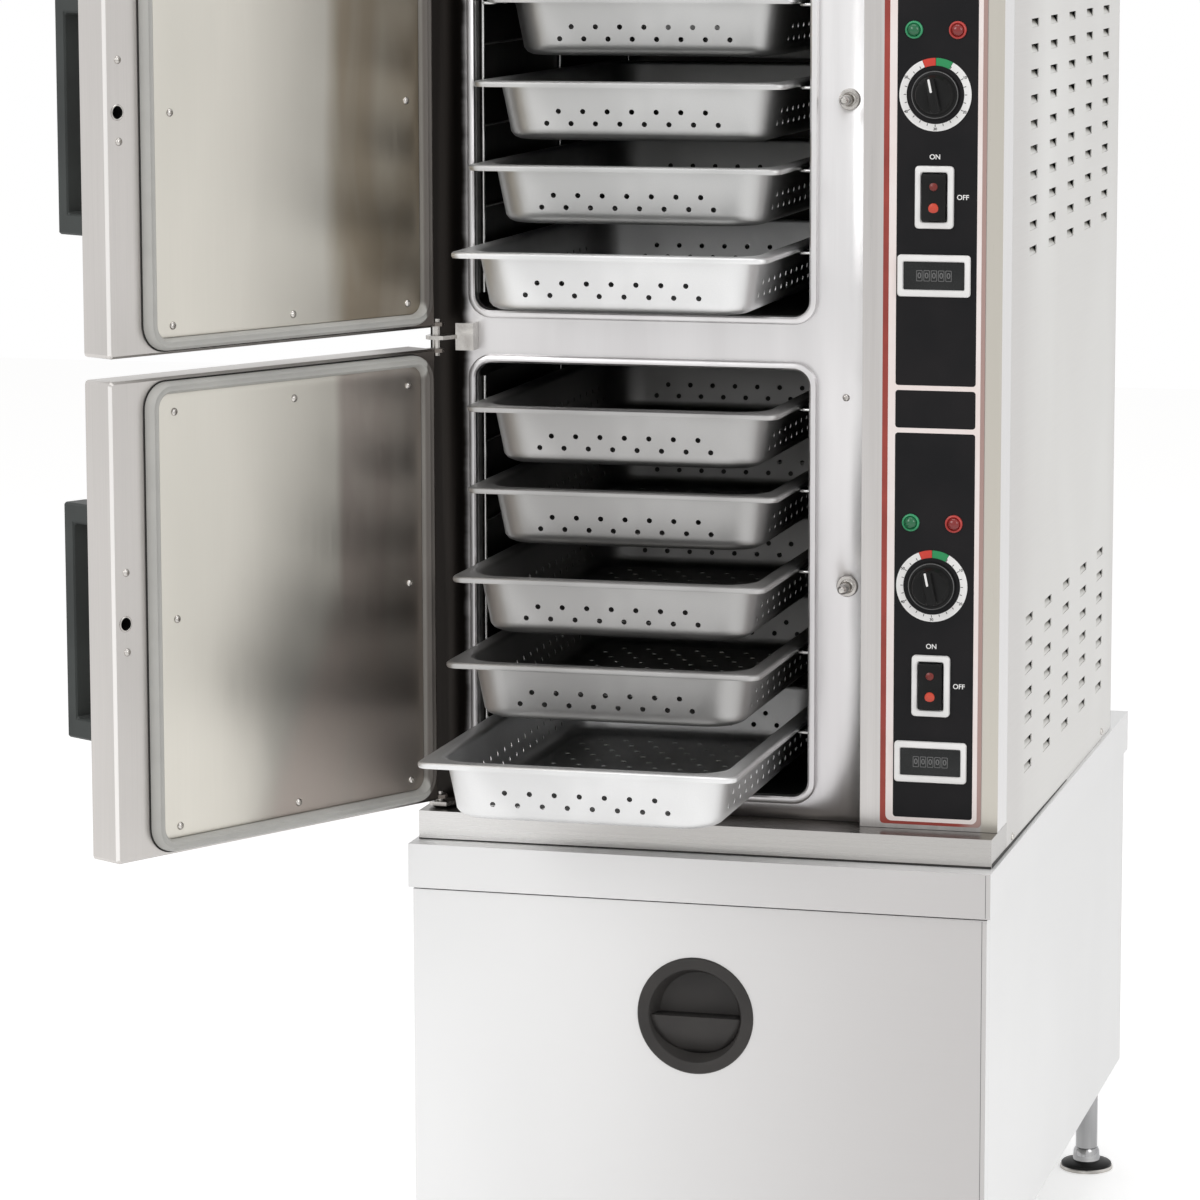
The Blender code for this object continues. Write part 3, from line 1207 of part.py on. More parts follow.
def build_control_panel(frame):
    """Overlay plate with its dial faces, switch frames and counters, and the four lamps."""
    foot = DECK + LEDGE_HEIGHT + PANEL_END_MARGIN
    head = WALL_TOP - PANEL_TOP_MARGIN
    outline = rounded(PANEL_WIDTH, head - foot, PANEL_CORNER_RADIUS)
    plate = place("control_panel", outline_mesh("control_panel", [outline], PANEL_THICKNESS),
                  frame, (PANEL_MIDDLE, PANEL_FACE + PANEL_THICKNESS / 2, (foot + head) / 2),
                  FACING_FRONT)
    dial = turned_mesh("dial", [(0, DIAL_THICKNESS), (DIAL_DIAMETER / 2, DIAL_THICKNESS),
                                (DIAL_DIAMETER / 2, -PANEL_THICKNESS / 2),
                                (0, -PANEL_THICKNESS / 2)], 24)
    switch = framed_window_mesh("switch_frame", (SWITCH_WIDTH, SWITCH_HEIGHT),
                                (SWITCH_WINDOW_WIDTH, SWITCH_WINDOW_HEIGHT), BEZEL_RADIUS,
                                SWITCH_PROUD, SWITCH_FLOOR)
    counter = framed_window_mesh("counter", (COUNTER_WIDTH, COUNTER_HEIGHT),
                                 (COUNTER_WINDOW_WIDTH, COUNTER_WINDOW_HEIGHT), BEZEL_RADIUS,
                                 COUNTER_PROUD, COUNTER_PROUD - COUNTER_RECESS)
    fittings = []
    for compartment in COMPARTMENTS:
        for mesh, rise in ((dial, DIAL_RISE), (switch, SWITCH_RISE), (counter, COUNTER_RISE)):
            fittings.append((mesh, turned_to_front(PANEL_MIDDLE, PANEL_FACE,
                                                   sill(compartment) + rise)))
        for title, side, look in (("ready", -1, GREEN_LENS), ("cooking", 1, RED_LENS)):
            lamp = place(f"{compartment}_{title}_lamp", lamp_mesh(), frame,
                         (PANEL_MIDDLE + side * LAMP_SPACING / 2, PANEL_FACE,
                          sill(compartment) + LAMP_RISE), FACING_FRONT)
            paint(lamp, look)
        build_moving_controls(frame, compartment)
    tool = place_tool("panel_fittings", grouped_mesh("panel_fittings", fittings), frame)
    combine(plate, tool, 'UNION')
    paint(plate, PANEL_INK)


def build_moving_controls(frame, compartment):
    """One compartment's timer knob and rocker, each on its axis."""
    dial = axis_empty(f"{compartment}_dial_axis", frame,
                      (PANEL_MIDDLE, PANEL_FACE, sill(compartment) + DIAL_RISE), FACING_FRONT)
    knob = place(f"{compartment}_timer_knob", knob_mesh(), dial)
    grip_top = KNOB_HEIGHT
    grip_half = KNOB_TOP_DIAMETER / 2 - KNOB_SKIRT / 2
    grip = place_tool(f"{compartment}_knob_grip",
                      box_mesh("knob_grip", (-KNOB_GRIP_WIDTH / 2, -grip_half, KNOB_SKIRT),
                               (KNOB_GRIP_WIDTH / 2, grip_half, grip_top)), dial)
    combine(knob, grip, 'UNION')
    paint(knob, BLACK_PLASTIC)
    seat = PANEL_FACE - SWITCH_FLOOR - GAP
    pivot = axis_empty(f"{compartment}_rocker_axis", frame,
                       (PANEL_MIDDLE, seat, sill(compartment) + SWITCH_RISE))
    rocker = place(f"{compartment}_rocker", rocker_mesh(), pivot,
                   (0, SWITCH_FLOOR + GAP, 0), ON_EDGE)
    paint(rocker, BLACK_PLASTIC)


def main():
    """Build the steamer."""
    remove_everything()
    frame = axis_empty("steamer_frame", None, frame_shift())
    build_base(frame)
    build_front_panel(frame)
    build_legs(frame)
    build_shell(frame)
    for compartment in COMPARTMENTS:
        build_cavity(frame, compartment)
        build_door(frame, compartment)
    build_strikes(frame)
    build_hinge_brackets(frame)
    build_control_panel(frame)
    build_pans(frame)


main()
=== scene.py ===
"""Looks of the two-compartment convection steamer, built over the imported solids."""
import math

import bmesh
import bpy
from mathutils import Matrix, Vector


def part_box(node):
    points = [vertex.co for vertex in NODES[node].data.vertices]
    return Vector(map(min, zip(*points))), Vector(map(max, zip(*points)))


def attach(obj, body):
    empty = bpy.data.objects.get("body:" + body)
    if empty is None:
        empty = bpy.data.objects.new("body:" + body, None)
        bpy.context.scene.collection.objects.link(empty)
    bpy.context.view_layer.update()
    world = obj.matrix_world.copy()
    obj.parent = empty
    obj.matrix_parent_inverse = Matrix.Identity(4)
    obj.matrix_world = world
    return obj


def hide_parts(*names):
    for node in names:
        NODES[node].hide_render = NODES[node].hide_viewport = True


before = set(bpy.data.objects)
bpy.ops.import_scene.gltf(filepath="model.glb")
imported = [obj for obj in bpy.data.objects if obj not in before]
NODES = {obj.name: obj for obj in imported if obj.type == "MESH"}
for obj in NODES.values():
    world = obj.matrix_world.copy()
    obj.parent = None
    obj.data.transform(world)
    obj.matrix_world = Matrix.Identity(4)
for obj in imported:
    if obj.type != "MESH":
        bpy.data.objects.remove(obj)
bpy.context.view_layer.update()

LEVELS = ("lower", "upper")
PAN_COUNTS = {"lower": 5, "upper": 4}

HINGE = Vector((-0.15885, -0.24562, 0))
OPEN = math.radians(119)
SILL = {"lower": 0.608, "upper": 1.102}
OPENING = (0.351, 0.439)
OPENING_X = 0.05265
OPENING_FROM_HINGE = 0.036
LATCH_FROM_HINGE = 0.427
GASKET_REACH = 0.01225
LIP_REACH = 0.0085
FASCIA_Y = -0.21762
FASCIA_FOLD = 0.0337
PANEL_X = 0.35915
PANEL_Y = -0.23912
DOOR_INNER = 0.007
FRONT = Matrix.Rotation(math.radians(90), 4, 'X')
# Local Z points to the right, local X to the back and local Y up.
SIDEWAYS = Matrix(((0, 0, 1, 0), (1, 0, 0, 0), (0, 1, 0, 0), (0, 0, 0, 1)))

# Radius and height of a screw's head.
SCREW_HEAD = (0.004, 0.0022)
SHEET_SCREW_INSET = 0.016
FOOT_SCREW_Z = 0.562
FOOT_SCREW_YS = (0.4494, -0.150)
FASCIA_SCREW = (0.2655, -0.2176, 1.020)
SIDE_X = 0.4282
WIRE_BEND = 0.006
KNOB_TURN = 12
PULL_Y = -0.29362

FLOOR_REACH = 9
FLOOR_COLOUR = (0.93, 0.93, 0.93)
FLOOR_GLOW = 0.45
AIR_COLOUR = (1.0, 0.995, 0.99)
AIR_STRENGTH = 0.56
# Name, place, aim, size in metres, power in watts.
LAMPS = (("key", (-2.2, -4.2, 3.2), (0, 0, 0.9), 2.2, 60),
         ("fill", (3.4, -2.6, 2.4), (0.2, 0, 0.8), 2.0, 32),
         ("top", (0, -0.6, 4.2), (0, 0, 1.0), 2.4, 34))
CAMERA_PLACE = (1.210521, -4.707245, 1.543715)
CAMERA_TURNS = (14.851, 7.85, -0.119)
CAMERA_LENS = 136.63
CAMERA_SHIFT = (-0.010, -0.080)


# Materials
def shader(name):
    material = bpy.data.materials.new(name)
    material.use_nodes = True
    tree = material.node_tree
    return material, tree, tree.nodes["Principled BSDF"]


def fill(tree, node, inputs):
    """Give a node's inputs their values, or link them from another node's sockets."""
    for name, value in inputs.items():
        socket = node.inputs[name]
        if hasattr(value, "is_linked"):
            tree.links.new(value, socket)
        else:
            socket.default_value = (*value, 1) if socket.type == 'RGBA' else value


def add_node(tree, kind, inputs=None, **settings):
    node = tree.nodes.new("ShaderNode" + kind)
    for name, value in settings.items():
        setattr(node, name, value)
    fill(tree, node, inputs or {})
    return node


def noise(tree, scale, detail=3.0, rough=0.55, distortion=0.0):
    """Noise in the object's own metres, stretched by scale."""
    place = add_node(tree, "TexCoord").outputs["Object"]
    stretched = add_node(tree, "Mapping", {"Vector": place, "Scale": scale}).outputs["Vector"]
    texture = add_node(tree, "TexNoise", {"Vector": stretched, "Scale": 1.0, "Detail": detail,
                                          "Roughness": rough, "Distortion": distortion})
    return texture.outputs["Fac"]


def remap(tree, value, low, high, out_low=0, out_high=1, kind='LINEAR'):
    node = add_node(tree, "MapRange", {"Value": value, "From Min": low, "From Max": high,
                                       "To Min": out_low, "To Max": out_high},
                    interpolation_type=kind)
    return node.outputs["Result"]


def blend_colours(tree, factor, first, second):
    return add_node(tree, "Mix", {0: factor, 6: first, 7: second}, data_type='RGBA').outputs[2]


def shaded(tree, colour, shadows):
    """Colour with each shadow's tone laid where its mask says."""
    for mask, tone in shadows:
        colour = blend_colours(tree, mask(tree), colour, tone)
    return colour


def bumped(tree, height, strength, distance=0.0004):
    node = add_node(tree, "Bump", {"Height": height, "Strength": strength, "Distance": distance})
    return node.outputs["Normal"]


def slope(tree, direction, start, end, wander=0.0, smear=(9, 9, 1.5)):
    """Ramp from 0 to 1 along a direction of the object's own space, with a wandering edge."""
    place = add_node(tree, "TexCoord").outputs["Object"]
    dot = add_node(tree, "VectorMath", {0: place, 1: direction}, operation='DOT_PRODUCT')
    value = dot.outputs["Value"]
    if wander:
        drift = remap(tree, noise(tree, smear), 0.3, 0.7, -wander, wander)
        value = both_of(tree, value, drift, 'ADD')
    return remap(tree, value, start, end, kind='SMOOTHSTEP')


def both_of(tree, first, second, operation='MULTIPLY'):
    return add_node(tree, "Math", {0: first, 1: second}, operation=operation).outputs[0]


def steel(name, light, dark, rough, brush=(900, 900, 7), patch=(3.2, 3.2, 2.1), metallic=1.0,
          grain=0.12, bump=0.06, spread=0.06, shadows=()):
    """Brushed or satin steel: fine grain along one axis and slow cloudy tone."""
    material, tree, principled = shader(name)
    streak = noise(tree, brush, 4.0, 0.62)
    cloud = noise(tree, patch, 2.0, 0.5, distortion=0.4)
    base = blend_colours(tree, remap(tree, cloud, 0.36, 0.64), dark, light)
    deep = tuple(c * (1 - grain) for c in dark)
    colour = blend_colours(tree, remap(tree, streak, 0.3, 0.7, grain * 3, 0), base, deep)
    fill(tree, principled, {
        "Base Color": shaded(tree, colour, shadows), "Metallic": metallic,
        "Roughness": remap(tree, streak, 0.25, 0.75, rough - spread, rough + spread),
        "Normal": bumped(tree, streak, bump)})
    return material


def plastic(name, first, second, rough, grain=900.0, bump=0.12, coat=0.0, emission=0.0,
            gloss=0.3, shadows=()):
    """Moulded or printed plastic with fine grain and slow tone."""
    material, tree, principled = shader(name)
    fine = noise(tree, (grain, grain, grain), 2.0)
    slow = noise(tree, (14, 14, 14))
    colour = blend_colours(tree, remap(tree, slow, 0.35, 0.65), first, second)
    colour = shaded(tree, colour, shadows)
    fill(tree, principled, {
        "Base Color": colour, "Specular IOR Level": gloss, "Coat Weight": coat,
        "Roughness": remap(tree, fine, 0.3, 0.7, rough - 0.05, rough + 0.05),
        "Normal": bumped(tree, fine, bump, 0.0002)})
    if emission:
        fill(tree, principled, {"Emission Color": colour, "Emission Strength": emission})
    return material


def facing(tree, axis, sign=1):
    """Faces that look along one axis of the object's own space."""
    parts = add_node(tree, "SeparateXYZ", {0: add_node(tree, "TexCoord").outputs["Normal"]})
    return remap(tree, parts.outputs[axis], 0.5 * sign, 0.9 * sign)


def door_axis(along, inward):
    """Horizontal direction given on the open door, and the hinge's own reach along it."""
    turn = Matrix.Rotation(-OPEN, 3, 'Z')
    direction = (turn @ Vector((along, inward, 0))).normalized()
    return tuple(direction), direction.dot(HINGE)


def lower_smear(tree):
    """Painted dark reflection on the hinge side of the lower liner, leaning outwards at the foot."""
    upright = slope(tree, (-1, 0, 0), -0.150, -0.134, 0.006, (9, 2.2, 9))
    leaning = slope(tree, (-1, 0.55, 0), -0.285, -0.222, 0.012, (9, 2.2, 9))
    veil = remap(tree, noise(tree, (17, 4.5, 17), 1.6, distortion=0.8), 0.30, 0.60, 0.62, 1.0)
    return both_of(tree, both_of(tree, upright, leaning, 'MAXIMUM'), veil)


def lower_haze(tree):
    """Painted soft grey reflection beyond the dark one, at the liner's foot."""
    across = slope(tree, (-1, 0, 0), -0.310, -0.205, 0.012, (9, 4, 9))
    down = slope(tree, (0, 1, 0), -0.30, -0.10)
    return both_of(tree, across, down)


def upper_smear(tree):
    """Painted dark reflection on the hinge side of the upper liner, with an upright edge."""
    edge = slope(tree, (-1, 0, 0), -0.158, -0.128, 0.010, (9, 2.2, 9))
    veil = remap(tree, noise(tree, (15, 4.0, 15), 1.6, distortion=0.8), 0.30, 0.60, 0.66, 1.0)
    return both_of(tree, edge, veil)


def gasket_shade(tree):
    """Hinge side of the gasket, dark but for its inner lip."""
    return slope(tree, (-1, 0, 0), -0.0320, -0.0298)


def jamb_shade(tree):
    """Dark strip of the front sheet beside the doors' hinges."""
    return slope(tree, (-1, 0, 0), 0.128, 0.140, 0.002, (2, 30, 2))


def fascia_fall(tree):
    """Painted shade: the front sheet a little darker towards its foot."""
    return slope(tree, (0, -1, 0), -1.55, -0.55, 0.05, (6, 1.5, 6))


def fascia_edge(tree):
    """Painted light strip of the front sheet beside the control column."""
    return slope(tree, (1, 0, 0), 0.258, 0.284)


# Painted light: faces looking left are made lighter.
def leftward(tree):
    return facing(tree, "X", -1)


def flange_shade(tree):
    """Dark hinge side of an open door."""
    direction, reach = door_axis(-1, 0)
    return slope(tree, direction, reach - 0.110, reach - 0.030, 0.010)


def bend_line(tree):
    """Painted highlight along the bend between a door's inner flange and its free edge."""
    direction, reach = door_axis(1, 1)
    return slope(tree, direction, reach + 0.3153, reach + 0.3158)


# Painted shade: faces looking up are made darker.
def upward(tree):
    return facing(tree, "Z")


def column_strip(tree):
    """Painted shade on the front of the column beyond the panel's right border."""
    strip = slope(tree, (1, 0, 0), 0.409, 0.413)
    return both_of(tree, strip, facing(tree, "Y", -1))


# Painted light: faces looking right are made lighter.
def rightward(tree):
    return facing(tree, "X")


def base_fall(tree):
    """Painted shade: the base front darker towards the right."""
    return both_of(tree, slope(tree, (1, 0, 0), -0.22, 0.46), facing(tree, "Y", -1))


def ledge_fall(tree):
    """Painted shade on the ledge front, which stays light only at its left end."""
    return slope(tree, (1, 0, 0), -0.12, 0.06, 0.02, (6, 30, 30))


def side_fall(tree):
    """Painted shade on the front part of the steamer's side."""
    return slope(tree, (0, -1, 0), -0.06, 0.16, 0.02)


def sunken(tree):
    """Painted shade on the parts of a louvre's tongue below the side's surface."""
    return slope(tree, (-1, 0, 0), -0.4277, -0.4240)


def border_fade(tree):
    """Right side of the panel's border, where the red turns mauve."""
    return slope(tree, (1, 0, 0), 0.385, 0.405)


def sheet_steels():
    """Steels of the cabinet's sheets and the ledge."""
    satin = {"brush": (900, 7, 900), "metallic": 0.5, "grain": 0.04}
    return {
        "body": steel("body_steel", (0.74, 0.735, 0.72), (0.70, 0.695, 0.68), 0.36,
                      patch=(9, 9, 1.6)),
        "column": steel("column_steel", (0.57, 0.550, 0.540), (0.49, 0.472, 0.460), 0.32,
                        patch=(60, 60, 0.8),
                        shadows=((column_strip, (0.50, 0.475, 0.425)),
                                 (rightward, (0.68, 0.67, 0.67)),
                                 (leftward, (0.95, 0.95, 0.95)))),
        "fascia": steel("fascia_steel", (0.79, 0.78, 0.78), (0.70, 0.69, 0.69), 0.34,
                        brush=(900, 7, 900), patch=(22, 1.5, 9), grain=0.08,
                        shadows=((fascia_fall, (0.55, 0.535, 0.54)),
                                 (fascia_edge, (0.80, 0.79, 0.79)),
                                 (jamb_shade, (0.022, 0.019, 0.017)))),
        "side": steel("side_steel", (0.79, 0.785, 0.765), (0.73, 0.72, 0.70), 0.45,
                      shadows=((side_fall, (0.65, 0.635, 0.62)),), **satin),
        "louvre": steel("louvre_steel", (0.77, 0.765, 0.74), (0.73, 0.72, 0.69), 0.45,
                        shadows=((sunken, (0.20, 0.195, 0.165)),), **satin),
        "base": steel("base_steel", (0.85, 0.85, 0.85), (0.82, 0.82, 0.82), 0.46,
                      brush=(7, 7, 900), metallic=0.5, grain=0.03, bump=0.03,
                      shadows=((base_fall, (0.53, 0.515, 0.51)),)),
        "ledge": steel("ledge_steel", (0.65, 0.64, 0.63), (0.58, 0.57, 0.56), 0.28,
                       brush=(7, 900, 900), patch=(2, 8, 8),
                       shadows=((ledge_fall, (0.41, 0.398, 0.385)),
                                (upward, (0.148, 0.136, 0.125)))),
    }


def door_steels():
    """Steel of the door shells and of their inner plates."""
    light, dark = (0.665, 0.640, 0.580), (0.595, 0.575, 0.520)
    brushed = {"brush": (900, 9, 900), "patch": (5, 1.5, 5), "grain": 0.06, "spread": 0.04}
    return {
        "door": steel("door_steel", (0.61, 0.585, 0.565), (0.54, 0.520, 0.50), 0.36,
                      shadows=((flange_shade, (0.160, 0.142, 0.128)),
                               (bend_line, (0.80, 0.78, 0.76)))),
        "lower_liner": steel("lower_liner_steel", light, dark, 0.36,
                             shadows=((lower_haze, (0.37, 0.355, 0.325)),
                                      (lower_smear, (0.40, 0.355, 0.322))), **brushed),
        "upper_liner": steel("upper_liner_steel", light, dark, 0.36,
                             shadows=((upper_smear, (0.36, 0.310, 0.240)),), **brushed),
    }


def small_steels():
    """Steels of the pans, the compartments' insides, wires, legs and screws."""
    drawn = {"brush": (1500, 1500, 1500), "patch": (9, 9, 9), "grain": 0.12, "bump": 0.02}
    return {
        # The pan steel comes in three copies: a darker one as painted shade on the lower pans, and a
        # lighter one as painted light on the first pan of each level.
        "pan": steel("pan_steel", (0.56, 0.56, 0.555), (0.45, 0.45, 0.445), 0.42, **drawn),
        "pan_painted_shade": steel("pan_steel_painted_shade", (0.45, 0.445, 0.44), (0.35, 0.345, 0.34), 0.42,
                         **drawn),
        "pan_painted_light": steel("pan_steel_painted_light", (0.74, 0.74, 0.74), (0.62, 0.62, 0.62), 0.42,
                          **drawn),
        # Near-black steel for the compartments' insides: painted shade of the deep cavities.
        "dark": steel("cavity_steel_painted_shade", (0.10, 0.096, 0.092), (0.05, 0.048, 0.046), 0.40),
        "dull": steel("dull_steel", (0.55, 0.55, 0.54), (0.45, 0.45, 0.44), 0.42),
        "wire": steel("bright_wire", (0.72, 0.72, 0.71), (0.55, 0.55, 0.54), 0.22,
                      brush=(300, 300, 300), patch=(20, 20, 20)),
        "chrome": steel("leg_chrome", (0.45, 0.45, 0.45), (0.30, 0.30, 0.31), 0.12,
                        brush=(900, 900, 12), patch=(30, 30, 4), grain=0.08, bump=0.02),
        "screw": steel("screw_steel", (0.62, 0.60, 0.57), (0.42, 0.40, 0.38), 0.24,
                       brush=(700, 700, 700), patch=(60, 60, 60)),
    }


def moulded_plastics():
    """Plastics, rubber and paint of the solid parts."""
    return {
        "seam": plastic("seam_shadow", (0.018, 0.017, 0.016), (0.030, 0.028, 0.026), 0.6),
        "black": plastic("black_plastic", (0.009, 0.009, 0.009), (0.014, 0.014, 0.014), 0.40,
                         gloss=0.12),
        "grip": plastic("grip_plastic", (0.044, 0.048, 0.047), (0.056, 0.062, 0.060), 0.5,
                        gloss=0.2),
        "pull": plastic("pull_plastic", (0.032, 0.030, 0.029), (0.043, 0.040, 0.038), 0.5,
                        gloss=0.25),
        "gasket": plastic("gasket_rubber", (0.49, 0.485, 0.460), (0.43, 0.425, 0.405), 0.55,
                          grain=500.0, shadows=((gasket_shade, (0.130, 0.118, 0.108)),)),
        "motor": plastic("motor_paint", (0.10, 0.11, 0.12), (0.14, 0.15, 0.16), 0.45),
    }


def panel_plastics():
    """Prints, lenses and windows of the control panel."""
    fine = {"grain": 1500.0, "bump": 0.04}
    return {
        "ink": plastic("overlay_black", (0.008, 0.008, 0.009), (0.012, 0.011, 0.012), 0.42,
                       grain=1500.0, bump=0.05, gloss=0.12),
        "white": plastic("print_white", (0.86, 0.85, 0.84), (0.80, 0.79, 0.78), 0.35, **fine),
        "blush": plastic("border_white", (0.87, 0.80, 0.78), (0.84, 0.74, 0.71), 0.35, **fine),
        "red": plastic("border_red", (0.36, 0.060, 0.045), (0.27, 0.045, 0.035), 0.35,
                       shadows=((border_fade, (0.40, 0.27, 0.245)),), **fine),
        "arc_red": plastic("arc_red", (0.66, 0.06, 0.04), (0.55, 0.04, 0.03), 0.35),
        "arc_green": plastic("arc_green", (0.03, 0.30, 0.11), (0.02, 0.24, 0.08), 0.35),
        "green": plastic("lens_green", (0.012, 0.150, 0.060), (0.008, 0.095, 0.035), 0.15,
                         grain=300.0, coat=0.4),
        "green_ring": plastic("ring_green", (0.06, 0.36, 0.17), (0.04, 0.27, 0.12), 0.3),
        "lamp_red": plastic("lens_red", (0.26, 0.018, 0.016), (0.17, 0.012, 0.012), 0.15,
                            grain=300.0, coat=0.4),
        "red_ring": plastic("ring_red", (0.55, 0.075, 0.065), (0.42, 0.05, 0.045), 0.3),
        "off_red": plastic("lens_red_off", (0.20, 0.022, 0.016), (0.13, 0.014, 0.010), 0.3,
                           grain=300.0, coat=0.2),
        "glow_red": plastic("lens_red_lit", (0.55, 0.065, 0.035), (0.42, 0.04, 0.02), 0.3,
                            grain=300.0, coat=0.2, emission=0.15),
        "window": plastic("counter_window", (0.016, 0.017, 0.017), (0.026, 0.027, 0.027), 0.25,
                          coat=0.05, gloss=0.15),
        "digit": plastic("counter_digit", (0.17, 0.17, 0.17), (0.12, 0.12, 0.12), 0.4),
    }


LOOK = {**sheet_steels(), **door_steels(), **small_steels(), **moulded_plastics(),
        **panel_plastics()}


# Shapes
def mesh_from(name, shape):
    mesh = bpy.data.meshes.new(name)
    shape.to_mesh(mesh)
    shape.free()
    return mesh


def add_object(name, data):
    item = bpy.data.objects.new(name, data)
    bpy.context.scene.collection.objects.link(item)
    return item


def final_mesh(holder):
    """Mesh of an object with its modifiers applied; the object is removed."""
    bpy.context.view_layer.update()
    evaluated = holder.evaluated_get(bpy.context.evaluated_depsgraph_get())
    mesh = bpy.data.meshes.new_from_object(evaluated)
    bpy.data.objects.remove(holder)
    return mesh


def shade(mesh, angle=38):
    mesh.shade_smooth()
    mesh.set_sharp_from_angle(angle=math.radians(angle))


def settle(item, body, look, stands_for):
    """Give a piece its look, let it ride on its body and hide the solids it stands for."""
    item.data.materials.clear()
    item.data.materials.append(LOOK[look])
    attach(item, body)
    if stands_for:
        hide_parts(*stands_for)
    return item


def put(name, mesh, body, look, matrix=None, stands_for=(), angle=38):
    """Place a finished mesh as a piece of its body."""
    if angle:
        shade(mesh, angle)
    item = add_object(name, mesh)
    if matrix is not None:
        item.matrix_world = matrix
    return settle(item, body, look, stands_for)


def printed(name, mesh, look, spot, body="cabinet", angle=38):
    return put(name, mesh, body, look, spot, angle=angle)


def thicken(item, thickness, offset=-1):
    sheet = item.modifiers.new("Sheet", 'SOLIDIFY')
    sheet.thickness = thickness
    sheet.offset = offset


def soften(item, width, segments=2, angle=30):
    bevel = item.modifiers.new("Edges", 'BEVEL')
    bevel.width = width
    bevel.segments = segments
    bevel.limit_method = 'ANGLE'
    bevel.angle_limit = math.radians(angle)
    bevel.harden_normals = True


def rounded(width, height, radius, steps=8, centre=(0, 0)):
    """Rectangle with round corners, from its upper right corner onwards."""
    points = []
    for corner, (sx, sy) in enumerate(((1, 1), (-1, 1), (-1, -1), (1, -1))):
        cx = centre[0] + sx * (width / 2 - radius)
        cy = centre[1] + sy * (height / 2 - radius)
        for step in range(steps + 1):
            turn = math.radians(90) * (corner + step / steps)
            points.append((cx + radius * math.cos(turn), cy + radius * math.sin(turn)))
    return points


def circle(radius, sides, centre=(0, 0)):
    return [(centre[0] + radius * math.cos(math.tau * i / sides),
             centre[1] + radius * math.sin(math.tau * i / sides)) for i in range(sides)]


def loop(shape, outline, height):
    return [shape.verts.new((x, y, height)) for x, y in outline]


def bridge(shape, near, far, skip=()):
    for i in range(len(near)):
        if i not in skip:
            shape.faces.new((near[i - 1], near[i], far[i], far[i - 1]))


def closed(shape, points):
    """Edges round a loop of points, found or made."""
    pairs = [(points[i - 1], points[i]) for i in range(len(points))]
    return [shape.edges.get(pair) or shape.edges.new(pair) for pair in pairs]


def fill_flat(shape, edges, normal=(0, 0, 1)):
    bmesh.ops.triangle_fill(shape, use_beauty=True, edges=edges, normal=normal)


def grown_points(grown):
    """Points among what an extrusion made."""
    return [part for part in grown["geom"] if isinstance(part, bmesh.types.BMVert)]


def face_out(shape):
    bmesh.ops.recalc_face_normals(shape, faces=shape.faces)


def face_up(shape):
    """Turn an open sheet's faces so that most of it looks along +Z."""
    face_out(shape)
    if sum(f.normal.z * f.calc_area() for f in shape.faces) < 0:
        bmesh.ops.reverse_faces(shape, faces=shape.faces)


def loft(name, sections, caps=(), ring=False):
    """Band of faces through outlines with the same number of points."""
    shape = bmesh.new()
    loops = [loop(shape, outline, height) for outline, height in sections]
    for near, far in zip(loops, loops[1:]):
        bridge(shape, near, far)
    if ring:
        bridge(shape, loops[-1], loops[0])
    if "first" in caps:
        shape.faces.new(loops[0])
    if "last" in caps:
        shape.faces.new(loops[-1])
    face_out(shape)
    return mesh_from(name, shape)


def lathe(name, profile, sides=48, ring=False):
    """Body turned about Z; profile points are (radius, height)."""
    shape = bmesh.new()
    loops = []
    for radius, height in profile:
        if radius:
            loops.append(loop(shape, circle(radius, sides), height))
        else:
            loops.append([shape.verts.new((0, 0, height))] * sides)
    pairs = list(zip(loops, loops[1:]))
    if ring:
        pairs.append((loops[-1], loops[0]))
    for near, far in pairs:
        for i in range(sides):
            corners = list(dict.fromkeys((near[i - 1], near[i], far[i], far[i - 1])))
            if len(corners) > 2:
                shape.faces.new(corners)
    face_out(shape)
    return mesh_from(name, shape)


def plate(name, outlines, thickness, back=0.0):
    """Flat plate of an outline with holes; its back at the given height, facing +Z."""
    shape = bmesh.new()
    edges = []
    for outline in outlines:
        edges += closed(shape, loop(shape, outline, back))
    fill_flat(shape, edges)
    grown = bmesh.ops.extrude_face_region(shape, geom=list(shape.faces))
    bmesh.ops.translate(shape, verts=grown_points(grown), vec=(0, 0, thickness))
    face_out(shape)
    return mesh_from(name, shape)


def merged(name, meshes):
    """One mesh from several, each with its matrix."""
    shape = bmesh.new()
    for mesh, matrix in meshes:
        copy = mesh.copy()
        copy.transform(matrix)
        shape.from_mesh(copy)
        bpy.data.meshes.remove(copy)
    return mesh_from(name, shape)


def at(x, y, z):
    return Matrix.Translation((x, y, z))


def front(x, y, z):
    """Local +Z towards the front, local +Y up."""
    return at(x, y, z) @ FRONT


def door_matrix(level):
    return at(HINGE.x, HINGE.y, SILL[level]) @ Matrix.Rotation(-OPEN, 4, 'Z')


def on_door(level, along, inward, height):
    """On the open door's inner face: local +Z away from the inner skin."""
    return door_matrix(level) @ at(along, inward, height) @ Matrix.Rotation(math.radians(-90), 4, 'X')


def softened(run):
    """Points of a straight run with its bends rounded."""
    points = [Vector(p) for p in run]
    path = [points[0]]
    for before, here, after in zip(points, points[1:], points[2:]):
        back, ahead = (before - here).normalized(), (after - here).normalized()
        reach = min(WIRE_BEND, (before - here).length / 2, (after - here).length / 2)
        first, last = here + back * reach, here + ahead * reach
        for step in range(5):
            t = step / 4
            path.append(first * (1 - t) ** 2 + here * 2 * t * (1 - t) + last * t ** 2)
    path.append(points[-1])
    return path


